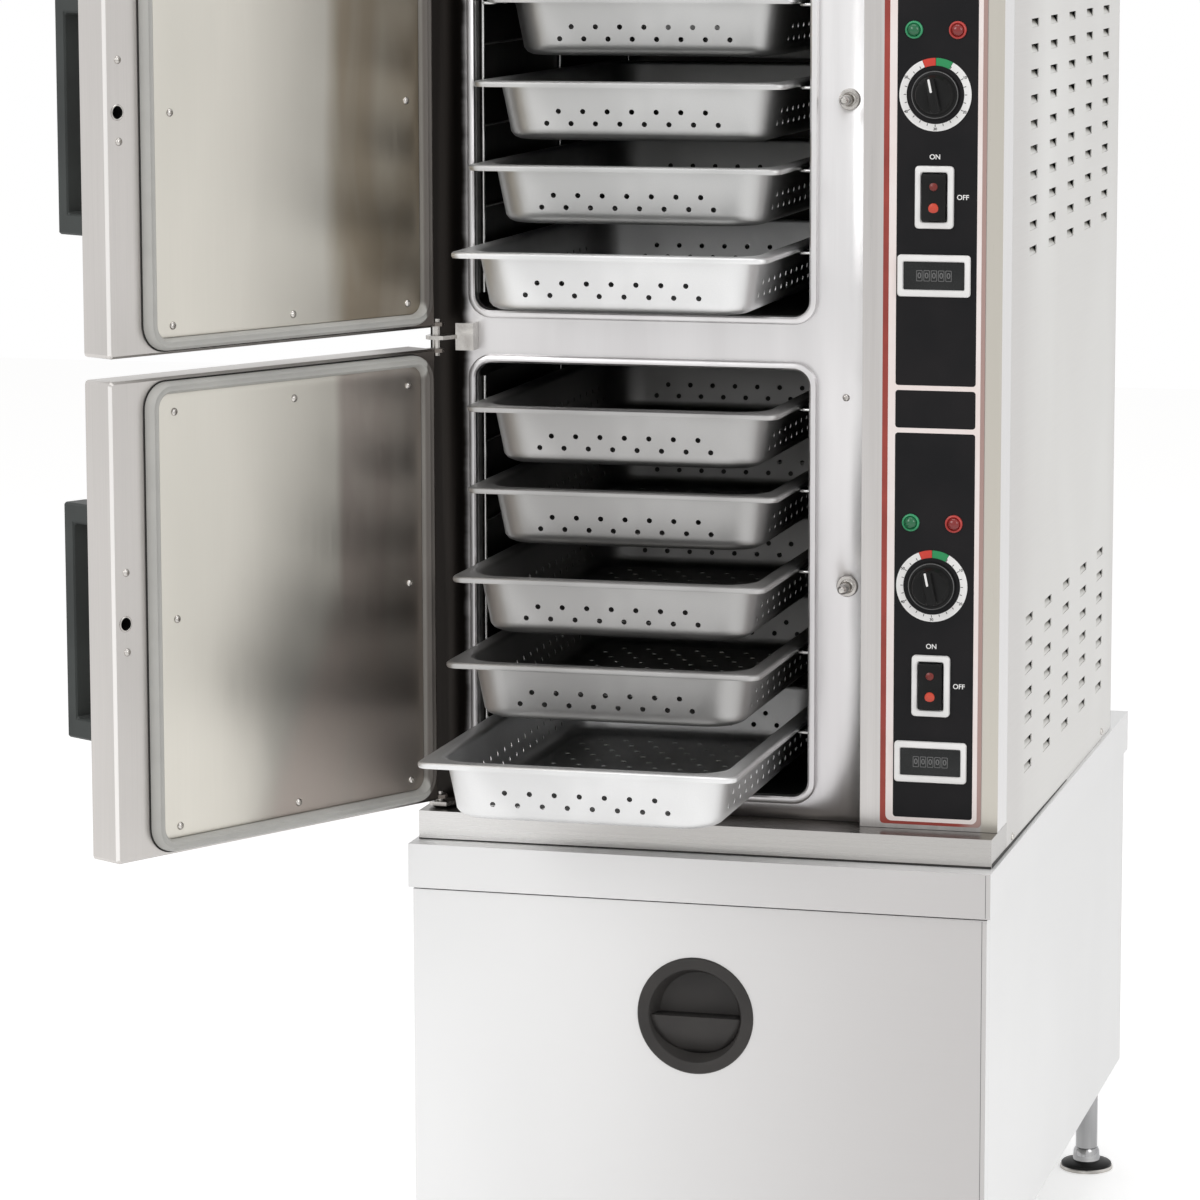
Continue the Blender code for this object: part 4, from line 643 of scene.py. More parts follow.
def wires(name, runs, radius, body, look, stands_for):
    """Round wires along straight runs with softened bends."""
    curve = bpy.data.curves.new(name, 'CURVE')
    curve.dimensions = '3D'
    curve.bevel_depth = radius
    curve.bevel_resolution = 4
    curve.use_fill_caps = True
    for run in runs:
        path = softened(run)
        spline = curve.splines.new('POLY')
        spline.points.add(len(path) - 1)
        for point, spot in zip(spline.points, path):
            point.co = (*spot, 1)
    settle(add_object(name, curve), body, look, stands_for)


def screw_mesh(radius, height):
    """Domed screw head with a socket."""
    return lathe("screw", [(0, height * 0.35), (radius * 0.38, height * 0.35),
                           (radius * 0.42, height * 0.97), (radius * 0.62, height * 0.88),
                           (radius * 0.86, height * 0.55), (radius, 0.0002), (radius, 0)], 20)


def screws(name, places, body="cabinet", head=SCREW_HEAD):
    """One piece of equal domed screws, one at each place."""
    mesh = screw_mesh(*head)
    put(name, merged(name, [(mesh, place) for place in places]), body, "screw")


def text_mesh(words, size, depth=0.00025):
    curve = bpy.data.curves.new("letters", 'FONT')
    curve.body = words
    curve.size = size
    curve.align_x = 'CENTER'
    curve.align_y = 'CENTER'
    curve.extrude = depth / 2
    curve.offset = size * 0.014
    mesh = final_mesh(add_object("letters", curve))
    mesh.materials.clear()
    return mesh


# CAD nodes that stay
def dress(name, look, bevel=0.0, segments=2):
    item = NODES[name]
    item.data.materials.clear()
    item.data.materials.append(LOOK[look])
    for polygon in item.data.polygons:
        polygon.material_index = 0
    if bevel:
        soften(item, bevel, segments)


def dress_nodes():
    for name in ("base_top_frame", "base_front_panel"):
        dress(name, "base", 0.0012)
    for name in ("base_side_left", "base_side_right"):
        dress(name, "base", 0.0008)
    dress("base_chassis", "dull")
    for name in ("side_panel_left", "side_panel_right"):
        dress(name, "side")
    dress("top_panel", "body", 0.0012)
    dress("rear_panel", "dull")
    dress("steamer_ledge", "ledge", 0.0015, 3)
    dress("control_column", "column", 0.0012, 3)
    for end in ("bottom", "middle", "top"):
        dress(f"hinge_bracket_{end}", "screw", 0.0006)
    for level in LEVELS:
        # Compartment insides and fan guards take near-black steel as painted shade.
        dress(f"{level}_cavity_liner", "dark")
        dress(f"{level}_fan_guard", "dark")
        dress(f"{level}_fan_wheel", "dull")
        dress(f"{level}_fan_motor", "motor", 0.001)
        dress(f"{level}_steam_generator", "dull")
        dress(f"{level}_door_shell", "door", 0.0008)
        dress(f"{level}_door_handle", "grip", 0.0015, 3)


# Pans
PAN_GAP = 0.0009
PAN_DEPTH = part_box("lower_pan_1")[1].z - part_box("lower_pan_1")[0].z - PAN_GAP
PAN_RIM = 0.006
PAN_KNUCKLE = 0.0115
PAN_SIZE = (0.325, 0.530)
PAN_HOLE = 0.0028
LONG_WALL_ROWS = (15, 16)
SHORT_WALL_ROWS = (7, 8)
WALL_HOLE_PITCH = 0.0255
WALL_ROW_TOP = 0.0265
WALL_ROW_PITCH = 0.0125
WALL_TOP = -0.0045
PAN_FLOOR = 0.0005 - PAN_DEPTH
WALL_FOOT = PAN_FLOOR + PAN_KNUCKLE


def wall_patch(shape, corners, rows):
    """Flat wall between four points, pierced by staggered rows of holes."""
    a, b, c, d = [v.co.copy() for v in corners]
    along = (b - a).normalized()
    down = ((d + c) - (a + b)).normalized()
    middle = (a + b) / 2
    edges = closed(shape, corners)
    for row, count in enumerate(rows):
        for i in range(count):
            drop = WALL_ROW_TOP + row * WALL_ROW_PITCH
            centre = middle + along * (i - (count - 1) / 2) * WALL_HOLE_PITCH + down * drop
            hole = [shape.verts.new(centre + along * x + down * y)
                    for x, y in circle(PAN_HOLE, 10)]
            edges += closed(shape, hole)
    fill_flat(shape, edges, along.cross(down))


def floor_patch(shape, ring):
    """Flat floor inside a ring of points, pierced by staggered rows of holes."""
    edges = closed(shape, ring)
    for row in range(15):
        count = 9 if row % 2 else 8
        for i in range(count):
            centre = ((i - (count - 1) / 2) * 0.0275, (row - 7) * 0.0285)
            edges += closed(shape, loop(shape, circle(PAN_HOLE, 8, centre), PAN_FLOOR))
    for vertex in ring:
        vertex.co.z = PAN_FLOOR
    fill_flat(shape, edges)


def pan_sections():
    """Rings from the rolled rim to the floor: inset, height and corner radius."""
    sections = [(0.0010, -0.0060, 0.012)]
    for turn in (200, 150, 110, 90):
        angle = math.radians(turn)
        sections.append((0.0028 * (1 + math.cos(angle)), -0.0030 + 0.0030 * math.sin(angle),
                         0.012))
    sections += [(0.0145, 0, 0.033), (0.0168, -0.0006, 0.036), (0.0182, -0.0022, 0.0375),
                 (0.0187, WALL_TOP, 0.038), (0.0257, WALL_FOOT, 0.038)]
    for turn in (25, 50, 75, 90):
        angle = math.radians(turn)
        sections.append((0.0257 + PAN_KNUCKLE * (1 - math.cos(angle)),
                         WALL_FOOT - PAN_KNUCKLE * math.sin(angle), 0.038 - 0.0075 * turn / 90))
    return sections


def pan_mesh():
    """Drawn pan with a rolled rim, soft corners and pierced walls and floor; rim at zero."""
    steps = 7
    width, length = PAN_SIZE
    shape = bmesh.new()
    sections = pan_sections()
    loops = [loop(shape, rounded(width - 2 * inset, length - 2 * inset, radius, steps), height)
             for inset, height, radius in sections]
    wall = next(i for i, s in enumerate(sections) if s[1] == WALL_TOP)
    straight = [corner * (steps + 1) for corner in range(4)]
    for i, (near, far) in enumerate(zip(loops, loops[1:])):
        bridge(shape, near, far, straight if i == wall else ())
    top, foot = loops[wall], loops[wall + 1]
    for side, i in enumerate(straight):
        wall_patch(shape, (top[i - 1], top[i], foot[i], foot[i - 1]),
                   SHORT_WALL_ROWS if side % 2 else LONG_WALL_ROWS)
    floor_patch(shape, loops[-1])
    face_up(shape)
    holder = add_object("pan", mesh_from("pan", shape))
    thicken(holder, 0.0008)
    thick = final_mesh(holder)
    shade(thick, 35)
    return thick


def build_pans():
    meshes = {"pan": pan_mesh()}
    for look in ("pan_painted_shade", "pan_painted_light"):
        meshes[look] = meshes["pan"].copy()
    for level in LEVELS:
        for number in range(1, PAN_COUNTS[level] + 1):
            name = f"{level}_pan_{number}"
            low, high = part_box(name)
            # Painted light and shade: lower pans take the darker copy of the pan steel, the first pan
            # of each level the lighter one.
            look = "pan_painted_shade" if level == "lower" else "pan"
            look = "pan_painted_light" if number == 1 else look
            put(f"{name}_dressed", meshes[look], f"{name}_body", look,
                at((low.x + high.x) / 2, (low.y + high.y) / 2, high.z - PAN_GAP),
                (name,), angle=0)


# Compartments
RACK_WIRE = 0.002
FIRST_SLIDE = 0.065
SLIDE_PITCH = 0.0835
SLIDE_REACH = 0.0127
SLIDE_GAP = 0.0003
# How far the plain wire along the side runs below each slide.
GUIDE_DROP = 0.0417


def build_racks():
    for level in LEVELS:
        low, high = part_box(f"{level}_rack")
        left, right = low.x + RACK_WIRE, high.x - RACK_WIRE
        near, far = low.y + RACK_WIRE, high.y - RACK_WIRE
        runs = [[(x, y, low.z), (x, y, high.z)] for x in (left, right) for y in (near, far)]
        middle_y = (near + far) / 2
        runs += [[(x, middle_y, low.z), (x, middle_y, high.z)] for x in (left, right)]
        for number in range(5):
            rim = SILL[level] + PAN_RIM + FIRST_SLIDE + number * SLIDE_PITCH
            z = rim - PAN_RIM - SLIDE_GAP - RACK_WIRE
            for x, inner in ((left, left + SLIDE_REACH), (right, right - SLIDE_REACH)):
                runs.append([(x, near, z), (inner, near, z), (inner, far, z), (x, far, z)])
                runs.append([(x, near, z - GUIDE_DROP), (x, far, z - GUIDE_DROP)])
        for z in (low.z + 2 * RACK_WIRE, high.z - 2 * RACK_WIRE):
            runs.append([(left, far, z), (right, far, z)])
        wires(f"{level}_rack_wires", runs, RACK_WIRE, "cabinet", "wire",
              (f"{level}_rack",))


def fascia_rings(shape, level):
    """Raised lip round one opening, from the sheet to the opening's inside."""
    centre = (OPENING_X, SILL[level] + OPENING[1] / 2)
    grow = 2 * LIP_REACH
    rings = [(grow, 0.0245, 0.0), (grow, 0.0245, 0.0055), (grow - 0.0022, 0.0234, 0.0082),
             (grow - 0.0060, 0.0215, 0.009), (0.0050, 0.0185, 0.009), (0.0014, 0.0167, 0.0078),
             (0, 0.016, 0.005), (0, 0.016, -0.0012)]
    return [loop(shape, rounded(OPENING[0] + more, OPENING[1] + more, radius, 10, centre), z)
            for more, radius, z in rings]


def fascia_mesh(low, high):
    """Front sheet with two rounded openings in raised lips, facing +Z, in world X and Z."""
    shape = bmesh.new()
    corners = [(low.x, low.z), (high.x, low.z), (high.x, high.z), (low.x, high.z)]
    edges = closed(shape, loop(shape, corners, 0))
    for level in LEVELS:
        loops = fascia_rings(shape, level)
        for near, far in zip(loops, loops[1:]):
            bridge(shape, near, far)
        edges += closed(shape, loops[0])
    fill_flat(shape, edges)
    fold = bmesh.ops.extrude_edge_only(shape, edges=edges[:1])
    bmesh.ops.translate(shape, verts=grown_points(fold), vec=(0, 0, -FASCIA_FOLD))
    face_up(shape)
    return mesh_from("fascia", shape)


def build_fascia():
    low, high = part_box("front_fascia")
    item = put("front_fascia_dressed", fascia_mesh(low, high), "cabinet", "fascia",
               front(0, FASCIA_Y, 0), ("front_fascia",), angle=30)
    thicken(item, 0.0012)
    put("fascia_screw", screw_mesh(0.0038, 0.0026), "cabinet", "screw", front(*FASCIA_SCREW))
    turn = Matrix.Rotation(math.radians(90), 4, 'Y')
    screws("side_screws", [at(SIDE_X, y, FOOT_SCREW_Z) @ turn for y in FOOT_SCREW_YS])


def build_back_screws():
    """Screws along the borders of the two back sheets and at the left side's foot."""
    inset = SHEET_SCREW_INSET
    backwards = Matrix.Rotation(math.radians(-90), 4, 'X')
    places = []
    for node, rows, upper in (("rear_panel", 6, "rear_panel"), ("base_chassis", 3, "base_front_panel")):
        low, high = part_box(node)
        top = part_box(upper)[1].z
        for i in range(4):
            for k in range(rows):
                if i in (0, 3) or k in (0, rows - 1):
                    x = low.x + inset + (high.x - low.x - 2 * inset) * i / 3
                    z = low.z + inset + (top - low.z - 2 * inset) * k / (rows - 1)
                    places.append(at(x, high.y, z) @ backwards)
    screws("back_screws", places)
    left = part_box("side_panel_left")[0].x
    leftwards = Matrix.Rotation(math.radians(-90), 4, 'Y')
    screws("left_screws", [at(left, y, FOOT_SCREW_Z) @ leftwards for y in FOOT_SCREW_YS])


def build_strikes():
    stud = lathe("strike", [(0, 0.0327), (0.0026, 0.0324), (0.0040, 0.0310), (0.0050, 0.0275),
                            (0.0050, 0.0046), (0.0056, 0.0040), (0.0070, 0.0036),
                            (0.0074, 0.0052), (0.0100, 0.0052), (0.0108, 0.0042),
                            (0.0110, 0.0003), (0, 0.0003)], 40)
    for level in LEVELS:
        low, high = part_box(f"{level}_strike_stud")
        put(f"{level}_strike_turned", stud.copy(), "cabinet", "screw",
            front((low.x + high.x) / 2, high.y, (low.z + high.z) / 2),
            (f"{level}_strike_stud",))


# Doors
def build_door(level):
    door = f"{level}_door"
    low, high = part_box(f"{level}_door_gasket")
    height = high.z - low.z
    left = OPENING_FROM_HINGE - GASKET_REACH - 0.0045
    width = OPENING_FROM_HINGE + OPENING[0] + GASKET_REACH - left
    centre = (left + width / 2, -OPENING[1] / 2)
    inner = on_door(level, 0, DOOR_INNER, 0)
    band = 0.0115
    rings = [(0, 0.0003), (0, 0.0060), (0.0012, 0.0095), (0.0034, 0.0114), (0.0058, 0.0106),
             (0.0082, 0.0114), (0.0103, 0.0095), (band, 0.0060), (band, 0.0003)]
    sections = [(rounded(width - 2 * i, height - 2 * i, 0.026 - i, 10, centre), z)
                for i, z in rings]
    put(f"{door}_gasket_dressed", loft("gasket", sections, ring=True), door, "gasket", inner,
        (f"{door}_gasket",))
    plate_width = width - 2 * band - 0.0006
    plate_height = height - 2 * band - 0.0006
    edge = [(0, 0.0003), (0, 0.0012), (0.0004, 0.0017), (0.0010, 0.0018)]
    sections = [(rounded(plate_width - 2 * i, plate_height - 2 * i, 0.0125 - i, 10, centre), z)
                for i, z in edge]
    put(f"{door}_liner_dressed", loft("liner", sections, caps=("first", "last")), door,
        f"{level}_liner", inner, (f"{door}_liner",), angle=25)
    spots = [(s, z) for s in (0.049, 0.206, 0.363) for z in (0.011, 0.421)]
    spots += [(s, 0.217) for s in (0.049, 0.363)]
    screws(f"{door}_liner_screws",
           [on_door(level, s, DOOR_INNER + 0.0018, z) for s, z in spots], door)
    latch_z = OPENING[1] / 2
    screws(f"{door}_flange_screws",
           [on_door(level, 0.4255, DOOR_INNER, latch_z + dz) for dz in (0.050, -0.028)], door)
    groove = [(rounded(width + 2 * i, height + 2 * i, 0.026 + i, 10, centre), z)
              for i, z in ((0.0016, 0.0003), (0.0016, 0.0007), (0, 0.0007), (0, 0.0003))]
    put(f"{door}_gasket_groove", loft("groove", groove, ring=True), door, "seam", inner)


def build_latch(level):
    """Latch opening in a door's flange: a bushing round a black cup."""
    door = f"{level}_door"
    spot = on_door(level, LATCH_FROM_HINGE, DOOR_INNER, OPENING[1] / 2)
    bushing = lathe("latch_bushing", [(0.0062, -0.0010), (0.0062, 0.0006), (0.0065, 0.0009),
                                      (0.0074, 0.0008), (0.0078, 0.0004), (0.0078, 0.0002),
                                      (0.0066, 0.0002), (0.0064, -0.0010)], 36, ring=True)
    put(f"{door}_latch_bushing", bushing, door, "screw", spot)
    cup = lathe("latch_cup", [(0.0061, -0.0014), (0.0061, -0.0120), (0, -0.0120)], 36)
    put(f"{door}_latch_cup", cup, door, "black", spot)


# Controls
OVERLAY = 0.0011


def arc_band(inner, outer, start, end, steps=24):
    """Band between two radii, angles clockwise from the top in degrees."""
    points = []
    for i in range(steps + 1):
        turn = math.radians(90 - (start + (end - start) * i / steps))
        points.append((outer * math.cos(turn), outer * math.sin(turn)))
    for i in range(steps + 1):
        turn = math.radians(90 - (end + (start - end) * i / steps))
        points.append((inner * math.cos(turn), inner * math.sin(turn)))
    return points


def panel_plate(name, x0, x1, z0, z1, radius, proud, look, stands_for=()):
    outline = rounded(x1 - x0, z1 - z0, radius, 6, ((x0 + x1) / 2, (z0 + z1) / 2))
    mesh = plate(name, [outline], proud + OVERLAY, -OVERLAY)
    put(name, mesh, "cabinet", look, front(0, PANEL_Y, 0), stands_for)


def panel_lamp(level, word, side, look):
    spot = front(PANEL_X + side * 0.022, PANEL_Y, SILL[level] + 0.290)
    lens = lathe("lens", [(0, 0.0060), (0.0022, 0.0058), (0.0044, 0.0050), (0.0060, 0.0036),
                          (0.0066, 0.0016), (0.0066, 0.0003), (0, 0.0003)], 32)
    put(f"{level}_{word}_lens", lens, "cabinet", look, spot, (f"{level}_{word}_lamp",))
    ring = lathe("lamp_ring", [(0.0067, 0.0003), (0.0067, 0.0022), (0.0074, 0.0028),
                               (0.0086, 0.0022), (0.0090, 0.0010), (0.0090, 0.0003)],
                 32, ring=True)
    put(f"{level}_{word}_ring", ring, "cabinet", "green_ring" if side < 0 else "red_ring", spot)


def build_panel():
    low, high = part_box("control_panel")
    panel_plate("panel_border", low.x, high.x, low.z, high.z, 0.004, 0.0, "red",
                ("control_panel",))
    left, right = low.x + 0.0058, high.x - 0.0042
    bottom, top = low.z + 0.0032, high.z - 0.0030
    panel_plate("panel_white_line", left, right, bottom, top, 0.006, 0.00012, "blush")
    fields = ((low.z + 0.0076, 0.989), (0.994, 1.032), (1.037, high.z - 0.0076))
    for i, (foot, head) in enumerate(fields):
        panel_plate(f"panel_field_{i + 1}", low.x + 0.0134, high.x - 0.0090, foot, head, 0.003,
                    0.00024, "ink")
    for level in LEVELS:
        build_dial(level)
        build_switch(level)
        build_counter(level)
        panel_lamp(level, "ready", -1, "green")
        panel_lamp(level, "cooking", 1, "lamp_red")


def dial_marks():
    """Tick every 15 degrees, two minutes and a half apart, and a number every ten minutes."""
    tick = plate("tick", [[(-0.0003, 0.0296), (0.0003, 0.0296), (0.0003, 0.0320),
                           (-0.0003, 0.0320)]], 0.0003, 0.0009)
    marks = [(tick, Matrix.Rotation(-math.radians(i * 15), 4, 'Z')) for i in range(2, 23)]
    for number in range(10, 60, 10):
        angle = math.radians(number * 6)
        x, y = 0.0342 * math.sin(angle), 0.0342 * math.cos(angle)
        marks.append((text_mesh(str(number), 0.0038), at(x, y, 0.00105)))
    return merged("dial_marks", marks)


def build_dial(level):
    face = 0.0003
    spot = front(PANEL_X, PANEL_Y, SILL[level] + 0.226)
    for name, band, thickness, look in (
            ("ring", arc_band(0.0292, 0.0364, 29, 338, 72), 0.0007, "white"),
            ("red_arc", arc_band(0.0288, 0.0364, -21.5, 0), 0.0008, "arc_red"),
            ("green_arc", arc_band(0.0288, 0.0364, 0.8, 28.5), 0.0008, "arc_green")):
        printed(f"{level}_dial_{name}", plate(name, [band], thickness, face), look, spot)
    printed(f"{level}_dial_marks", dial_marks(), "ink", spot, angle=0)
    knob = lathe("knob", [(0, 0.0150), (0.0150, 0.0150), (0.0172, 0.0145), (0.0184, 0.0128),
                          (0.0196, 0.0060), (0.0206, 0.0048), (0.0232, 0.0044),
                          (0.0240, 0.0038), (0.0242, 0.0030), (0.0242, 0.0012), (0, 0.0012)], 72)
    timer = f"{level}_timer"
    spot = spot @ Matrix.Rotation(math.radians(KNOB_TURN), 4, 'Z')
    put(f"{level}_knob_body", knob, timer, "black", spot,
        (f"{level}_timer_knob",))
    grip = loft("grip", [(rounded(0.0110, 0.0365, 0.0040, 6), 0.0060),
                         (rounded(0.0104, 0.0358, 0.0040, 6), 0.0195),
                         (rounded(0.0096, 0.0350, 0.0038, 6), 0.0209),
                         (rounded(0.0080, 0.0335, 0.0034, 6), 0.0215)], caps=("last",))
    put(f"{level}_knob_grip", grip, timer, "black", spot)
    pointer = plate("pointer", [rounded(0.0022, 0.0135, 0.0008, 4, (0, 0.0095))], 0.0003, 0.0214)
    printed(f"{level}_knob_pointer", pointer, "white", spot, timer)
    rim = plate("rim_marks", [arc_band(0.0228, 0.0236, 0, 359, 72)], 0.0002, 0.0043)
    put(f"{level}_knob_rim", rim, timer, "digit", spot)


def frame_mesh(outer, window, radius, proud, back=0.0):
    """Soft-edged bezel with an open window."""
    rings = [(outer, radius, back), (outer, radius, proud - 0.0012),
             ((outer[0] - 0.0012, outer[1] - 0.0012), radius, proud - 0.0002),
             ((outer[0] - 0.0030, outer[1] - 0.0030), radius - 0.0008, proud),
             ((window[0] + 0.0018, window[1] + 0.0018), radius - 0.0018, proud),
             (window, radius - 0.0022, proud - 0.0012), (window, radius - 0.0022, back)]
    return loft("bezel", [(rounded(*size, r, 6), z) for size, r, z in rings], ring=True)


def rocker_mesh(half):
    """Rocker of a switch in side view, its face dished to the middle, drawn out to its width."""
    profile = [(-half, 0.0046), (0, 0.0016), (half, 0.0046), (half - 0.0006, 0.0082),
               (half - 0.0020, 0.0088), (half * 0.55, 0.0080), (0, 0.0070),
               (-half * 0.55, 0.0080), (0.0020 - half, 0.0088), (0.0006 - half, 0.0082)]
    return plate("rocker", [profile], 0.0240, -0.0120)


def build_switch(level):
    spot = front(PANEL_X, PANEL_Y, SILL[level] + 0.124)
    window = (0.0262, 0.0492)
    printed(f"{level}_switch_bezel", frame_mesh((0.039, 0.0625), window, 0.0040, 0.0049, 0.0001),
            "white", spot)
    printed(f"{level}_switch_well", plate("switch_well", [rounded(*window, 0.0018, 6)], 0.0004,
                                          0.0003), "ink", spot)
    low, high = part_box(f"{level}_rocker")
    rocker = put(f"{level}_rocker_body", rocker_mesh((high.z - low.z) / 2), f"{level}_switch",
                 "black", spot @ SIDEWAYS, (f"{level}_rocker",))
    soften(rocker, 0.0005)
    for word, lift, size, tilt, look in (("upper", 0.0110, 0.0046, -5, "off_red"),
                                         ("lower", -0.0110, 0.0056, 5, "glow_red")):
        lens = lathe("lens", [(0, 0.0014), (size * 0.5, 0.0012), (size * 0.88, 0.0005),
                              (size, -0.0012), (0, -0.0012)], 28)
        lean = Matrix.Rotation(math.radians(tilt), 4, 'X')
        put(f"{level}_rocker_{word}_lamp", lens, f"{level}_switch", look,
            spot @ at(0, lift, 0.0078) @ lean)
    words = merged("switch_words", [(text_mesh("ON", 0.0070), at(0, 0.0400, 0.0004)),
                                    (text_mesh("OFF", 0.0070), at(0.0285, 0, 0.0004))])
    printed(f"{level}_switch_words", words, "white", spot, angle=0)


def build_counter(level):
    spot = front(PANEL_X, PANEL_Y, SILL[level] + 0.0455)
    bezel = frame_mesh((0.074, 0.042), (0.0622, 0.0282), 0.0036, 0.0040, 0.0001)
    printed(f"{level}_counter_bezel", bezel, "white", spot)
    window = plate("counter_window", [rounded(0.0620, 0.0280, 0.0014, 6)], 0.0012, 0.0003)
    printed(f"{level}_counter_window", window, "window", spot)
    cells = []
    cell = plate("cell", [rounded(0.0062, 0.0110, 0.0008, 4),
                          rounded(0.0050, 0.0098, 0.0005, 4)], 0.0002, 0.0015)
    for i in range(5):
        cells.append((cell, at((i - 2) * 0.0074, 0, 0)))
        cells.append((text_mesh("0", 0.0080, 0.0002), at((i - 2) * 0.0074, 0, 0.0016)))
    printed(f"{level}_counter_digits", merged("counter_digits", cells), "digit", spot, angle=0)


# Louvres, legs and pull
LOUVRE_PITCH = (0.120, 0.026)
FIRST_LOUVRE = 0.240
BASE_REACH = 0.29762
STEAMER_FOOT = 0.553


def weave(shape, lines):
    """Faces between neighbouring open lines of points."""
    for near, far in zip(lines, lines[1:]):
        for c in range(len(near) - 1):
            shape.faces.new((near[c], near[c + 1], far[c + 1], far[c]))


def tongue_mesh():
    """Tongue of a pressed-in louvre: flush at the slot's foot, sunk towards its upper rear."""
    shape = bmesh.new()
    columns, rows = 10, 5
    lines = []
    for r in range(rows + 1):
        up = r / rows
        line = []
        for c in range(columns + 1):
            across = c / columns
            sink = 0.55 * up ** 1.5 + 0.45 * across * (0.35 + 0.65 * up)
            line.append(shape.verts.new((across * 0.0448 - 0.0224, -0.0044 + 0.0074 * up,
                                         -0.0052 * sink - 0.0003)))
        lines.append(line)
    weave(shape, lines)
    face_up(shape)
    bmesh.ops.solidify(shape, geom=list(shape.faces), thickness=0.0006)
    return mesh_from("tongue", shape)


def build_louvres():
    tongue = tongue_mesh()
    side = at(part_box("side_panel_right")[1].x, 0, 0) @ SIDEWAYS
    spots = []
    for foot, rows in ((0.066, 7), (0.607, 10)):
        for column in range(5):
            y = FIRST_LOUVRE + column * LOUVRE_PITCH[0] - BASE_REACH
            for row in range(rows):
                z = STEAMER_FOOT + foot + row * LOUVRE_PITCH[1]
                spots.append((tongue, side @ at(y, z, 0)))
    put("louvre_tongues", merged("louvre_tongues", spots), "cabinet", "louvre", angle=40)


# Thin dark strip laid along a joint as its painted shadow.
def seam(name, outline, matrix):
    sections = [(outline, 0), (outline, 0.0003)]
    put(name, loft(name, sections, caps=("first", "last")), "cabinet", "seam", matrix,
        angle=0)


def build_seams():
    """Painted shadows in the joints under the ledge and under the steamer's side, and dark lines at the
    base's corner.
    """
    low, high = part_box("steamer_ledge")
    seam("ledge_joint_shadow", [(low.x, 0), (high.x, 0), (high.x, 0.0022), (low.x, 0.0010)],
         front(0, low.y, low.z))
    near, far = low.y + 0.004, 0.20
    seam("side_joint_shadow", [(near, 0), (far, 0), (far, 0.0008), (near, 0.0042)],
         at(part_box("side_panel_right")[1].x, 0, low.z) @ SIDEWAYS)
    for name, node, body in (("panel_corner_line", "base_front_panel", "front_panel"),
                             ("band_corner_line", "base_top_frame", "cabinet")):
        low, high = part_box(node)
        left, right = high.x - 0.0052, high.x - 0.0046
        foot, head = low.z + 0.001, high.z - 0.001
        line = plate("corner_line", [[(left, foot), (right, foot), (right, head), (left, head)]],
                     0.0001)
        put(name, line, body, "digit", front(0, low.y, 0), angle=0)


def build_legs():
    tube = [(0, 0.1264), (0.0280, 0.1264), (0.0280, 0.1230), (0.0265, 0.1224), (0.0130, 0.1220),
            (0.0130, 0.0270), (0.0126, 0.0262), (0.0140, 0.0255), (0.0155, 0.0225),
            (0.0160, 0.0150), (0.0165, 0.0112), (0, 0.0112)]
    foot = [(0, 0.0113), (0.0180, 0.0112), (0.0285, 0.0086), (0.0300, 0.0072), (0.0300, 0.0045),
            (0, 0.0045)]
    rim = [(0, 0.0046), (0.0305, 0.0046), (0.0318, 0.0038), (0.0320, 0.0026), (0.0320, 0.0010),
           (0.0310, 0.0002), (0, 0.0)]
    for name in ("leg_front_left", "leg_front_right", "leg_rear_left", "leg_rear_right"):
        low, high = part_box(name)
        spot = at((low.x + high.x) / 2, (low.y + high.y) / 2, 0)
        put(f"{name}_turned", lathe("leg", tube, 48), "cabinet", "chrome", spot,
            (name,), angle=30)
        put(f"{name}_foot", lathe("foot", foot, 48), "cabinet", "black", spot,
            angle=30)
        put(f"{name}_rim", lathe("rim", rim, 48), "cabinet", "screw", spot, angle=30)


def scoop_mesh():
    """Sloped plate over the pull's lower half, with a step into the dish along its top."""
    shape = bmesh.new()
    rows = [(-0.0020, -0.0190)]
    for step in range(9):
        down = step / 8
        rows.append((-0.0020 - 0.0402 * down, -0.0008 - 0.0150 * down ** 1.6))
    lines = []
    for y, depth in rows:
        reach = 0.0430 + 0.27 * max(0.0165 + depth, 0)
        half = math.sqrt(reach ** 2 - y ** 2)
        lines.append([shape.verts.new((half * (c / 6 - 1), y, depth)) for c in range(13)])
    weave(shape, lines)
    face_out(shape)
    return mesh_from("scoop", shape)


def build_pull():
    low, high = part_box("panel_pull")
    spot = front((low.x + high.x) / 2, PULL_Y, (low.z + high.z) / 2)
    profile = [(0, -0.0200), (0.0380, -0.0200), (0.0412, -0.0190), (0.0432, -0.0165),
               (0.0478, 0.0006), (0.0490, 0.0022), (0.0510, 0.0029), (0.0575, 0.0029),
               (0.0596, 0.0022), (0.0608, 0.0008), (0.0610, 0.0003), (0.0520, 0.0003),
               (0.0520, -0.0030), (0.0450, -0.0218), (0, -0.0218)]
    put("panel_pull_dish", lathe("pull", profile, 72), "front_panel", "pull", spot,
        ("panel_pull",), angle=30)
    scoop = put("panel_pull_scoop", scoop_mesh(), "front_panel", "pull", spot,
                angle=40)
    thicken(scoop, 0.0012, 0)


# Stage
def strongest(tree, *rays):
    """Highest of some of the Light Path node's outputs."""
    path = add_node(tree, "LightPath")
    value = path.outputs[rays[0]]
    for ray in rays[1:]:
        value = both_of(tree, value, path.outputs[ray], 'MAXIMUM')
    return value


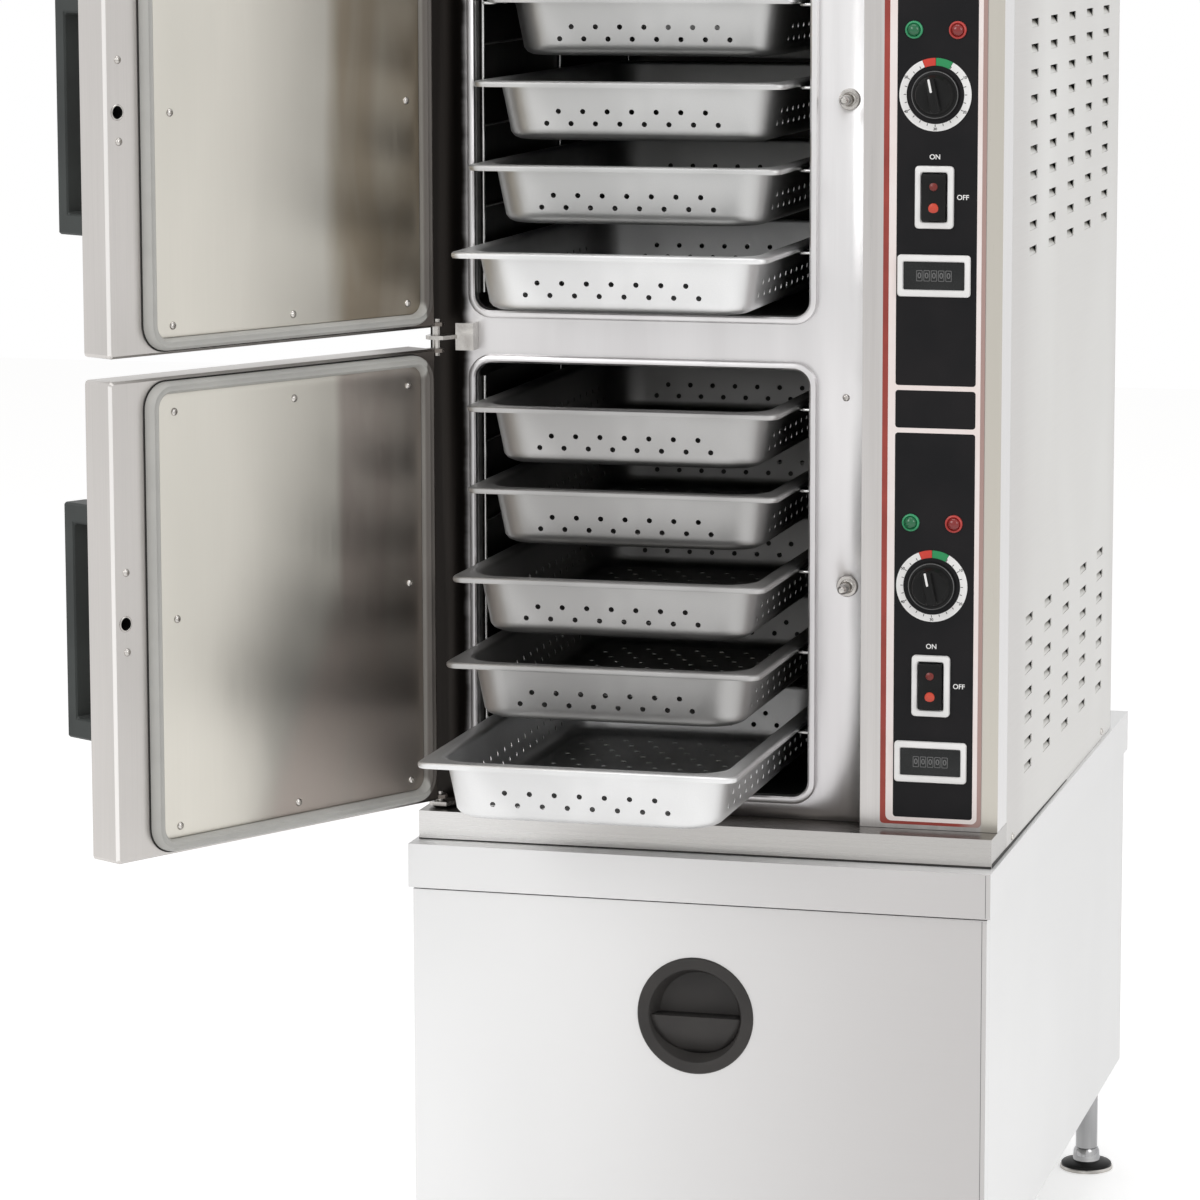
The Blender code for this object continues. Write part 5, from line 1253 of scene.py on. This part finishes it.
def build_floor():
    """White floor that keeps the object's shadow."""
    shape = bmesh.new()
    reach = FLOOR_REACH
    corners = [(-reach, -reach), (reach, -reach), (reach, reach), (-reach, reach)]
    shape.faces.new(loop(shape, corners, 0))
    floor = add_object("floor", mesh_from("floor", shape))
    material, tree = shader("floor_paint")[:2]
    tree.nodes.clear()
    seen = strongest(tree, "Is Camera Ray", "Is Glossy Ray")
    matte = add_node(tree, "BsdfDiffuse", {"Color": FLOOR_COLOUR})
    glow = add_node(tree, "Emission", {"Color": (1, 1, 1),
                                       "Strength": both_of(tree, seen, FLOOR_GLOW)})
    mix = add_node(tree, "AddShader", {0: matte.outputs[0], 1: glow.outputs[0]})
    add_node(tree, "OutputMaterial", {"Surface": mix.outputs[0]})
    floor.data.materials.append(material)


def build_world():
    """Soft air that lights the object, and white where it is seen or mirrored."""
    world = bpy.data.worlds.new("studio")
    bpy.context.scene.world = world
    world.use_nodes = True
    tree = world.node_tree
    tree.nodes.clear()
    seen = strongest(tree, "Is Camera Ray", "Is Transmission Ray", "Is Glossy Ray")
    air = add_node(tree, "Background", {"Color": AIR_COLOUR, "Strength": AIR_STRENGTH})
    white = add_node(tree, "Background", {"Color": (1, 1, 1), "Strength": 1.0})
    mix = add_node(tree, "MixShader", {0: seen, 1: air.outputs[0], 2: white.outputs[0]})
    add_node(tree, "OutputWorld", {"Surface": mix.outputs[0]})


def build_lamps():
    for name, spot, aim, size, power in LAMPS:
        lamp = bpy.data.lights.new(name, 'AREA')
        lamp.shape = 'SQUARE'
        lamp.size = size
        lamp.energy = power
        item = add_object(name, lamp)
        item.location = spot
        item.rotation_euler = (Vector(aim) - Vector(spot)).to_track_quat('-Z', 'Y').to_euler()


def build_camera():
    lens = bpy.data.cameras.new("camera")
    lens.sensor_width = 36
    lens.lens = CAMERA_LENS
    lens.shift_x, lens.shift_y = CAMERA_SHIFT
    lens.clip_end = 60
    camera = add_object("camera", lens)
    yaw, down, roll = (math.radians(turn) for turn in CAMERA_TURNS)
    camera.matrix_world = (at(*CAMERA_PLACE) @ Matrix.Rotation(yaw, 4, 'Z')
                           @ Matrix.Rotation(math.radians(90) - down, 4, 'X')
                           @ Matrix.Rotation(roll, 4, 'Z'))
    bpy.context.scene.camera = camera
    bpy.context.scene.view_settings.view_transform = 'Standard'


def main():
    dress_nodes()
    build_pans()
    build_racks()
    build_fascia()
    build_back_screws()
    build_strikes()
    for level in LEVELS:
        build_door(level)
        build_latch(level)
    build_panel()
    build_louvres()
    build_seams()
    build_legs()
    build_pull()
    build_floor()
    build_world()
    build_lamps()
    build_camera()


main()
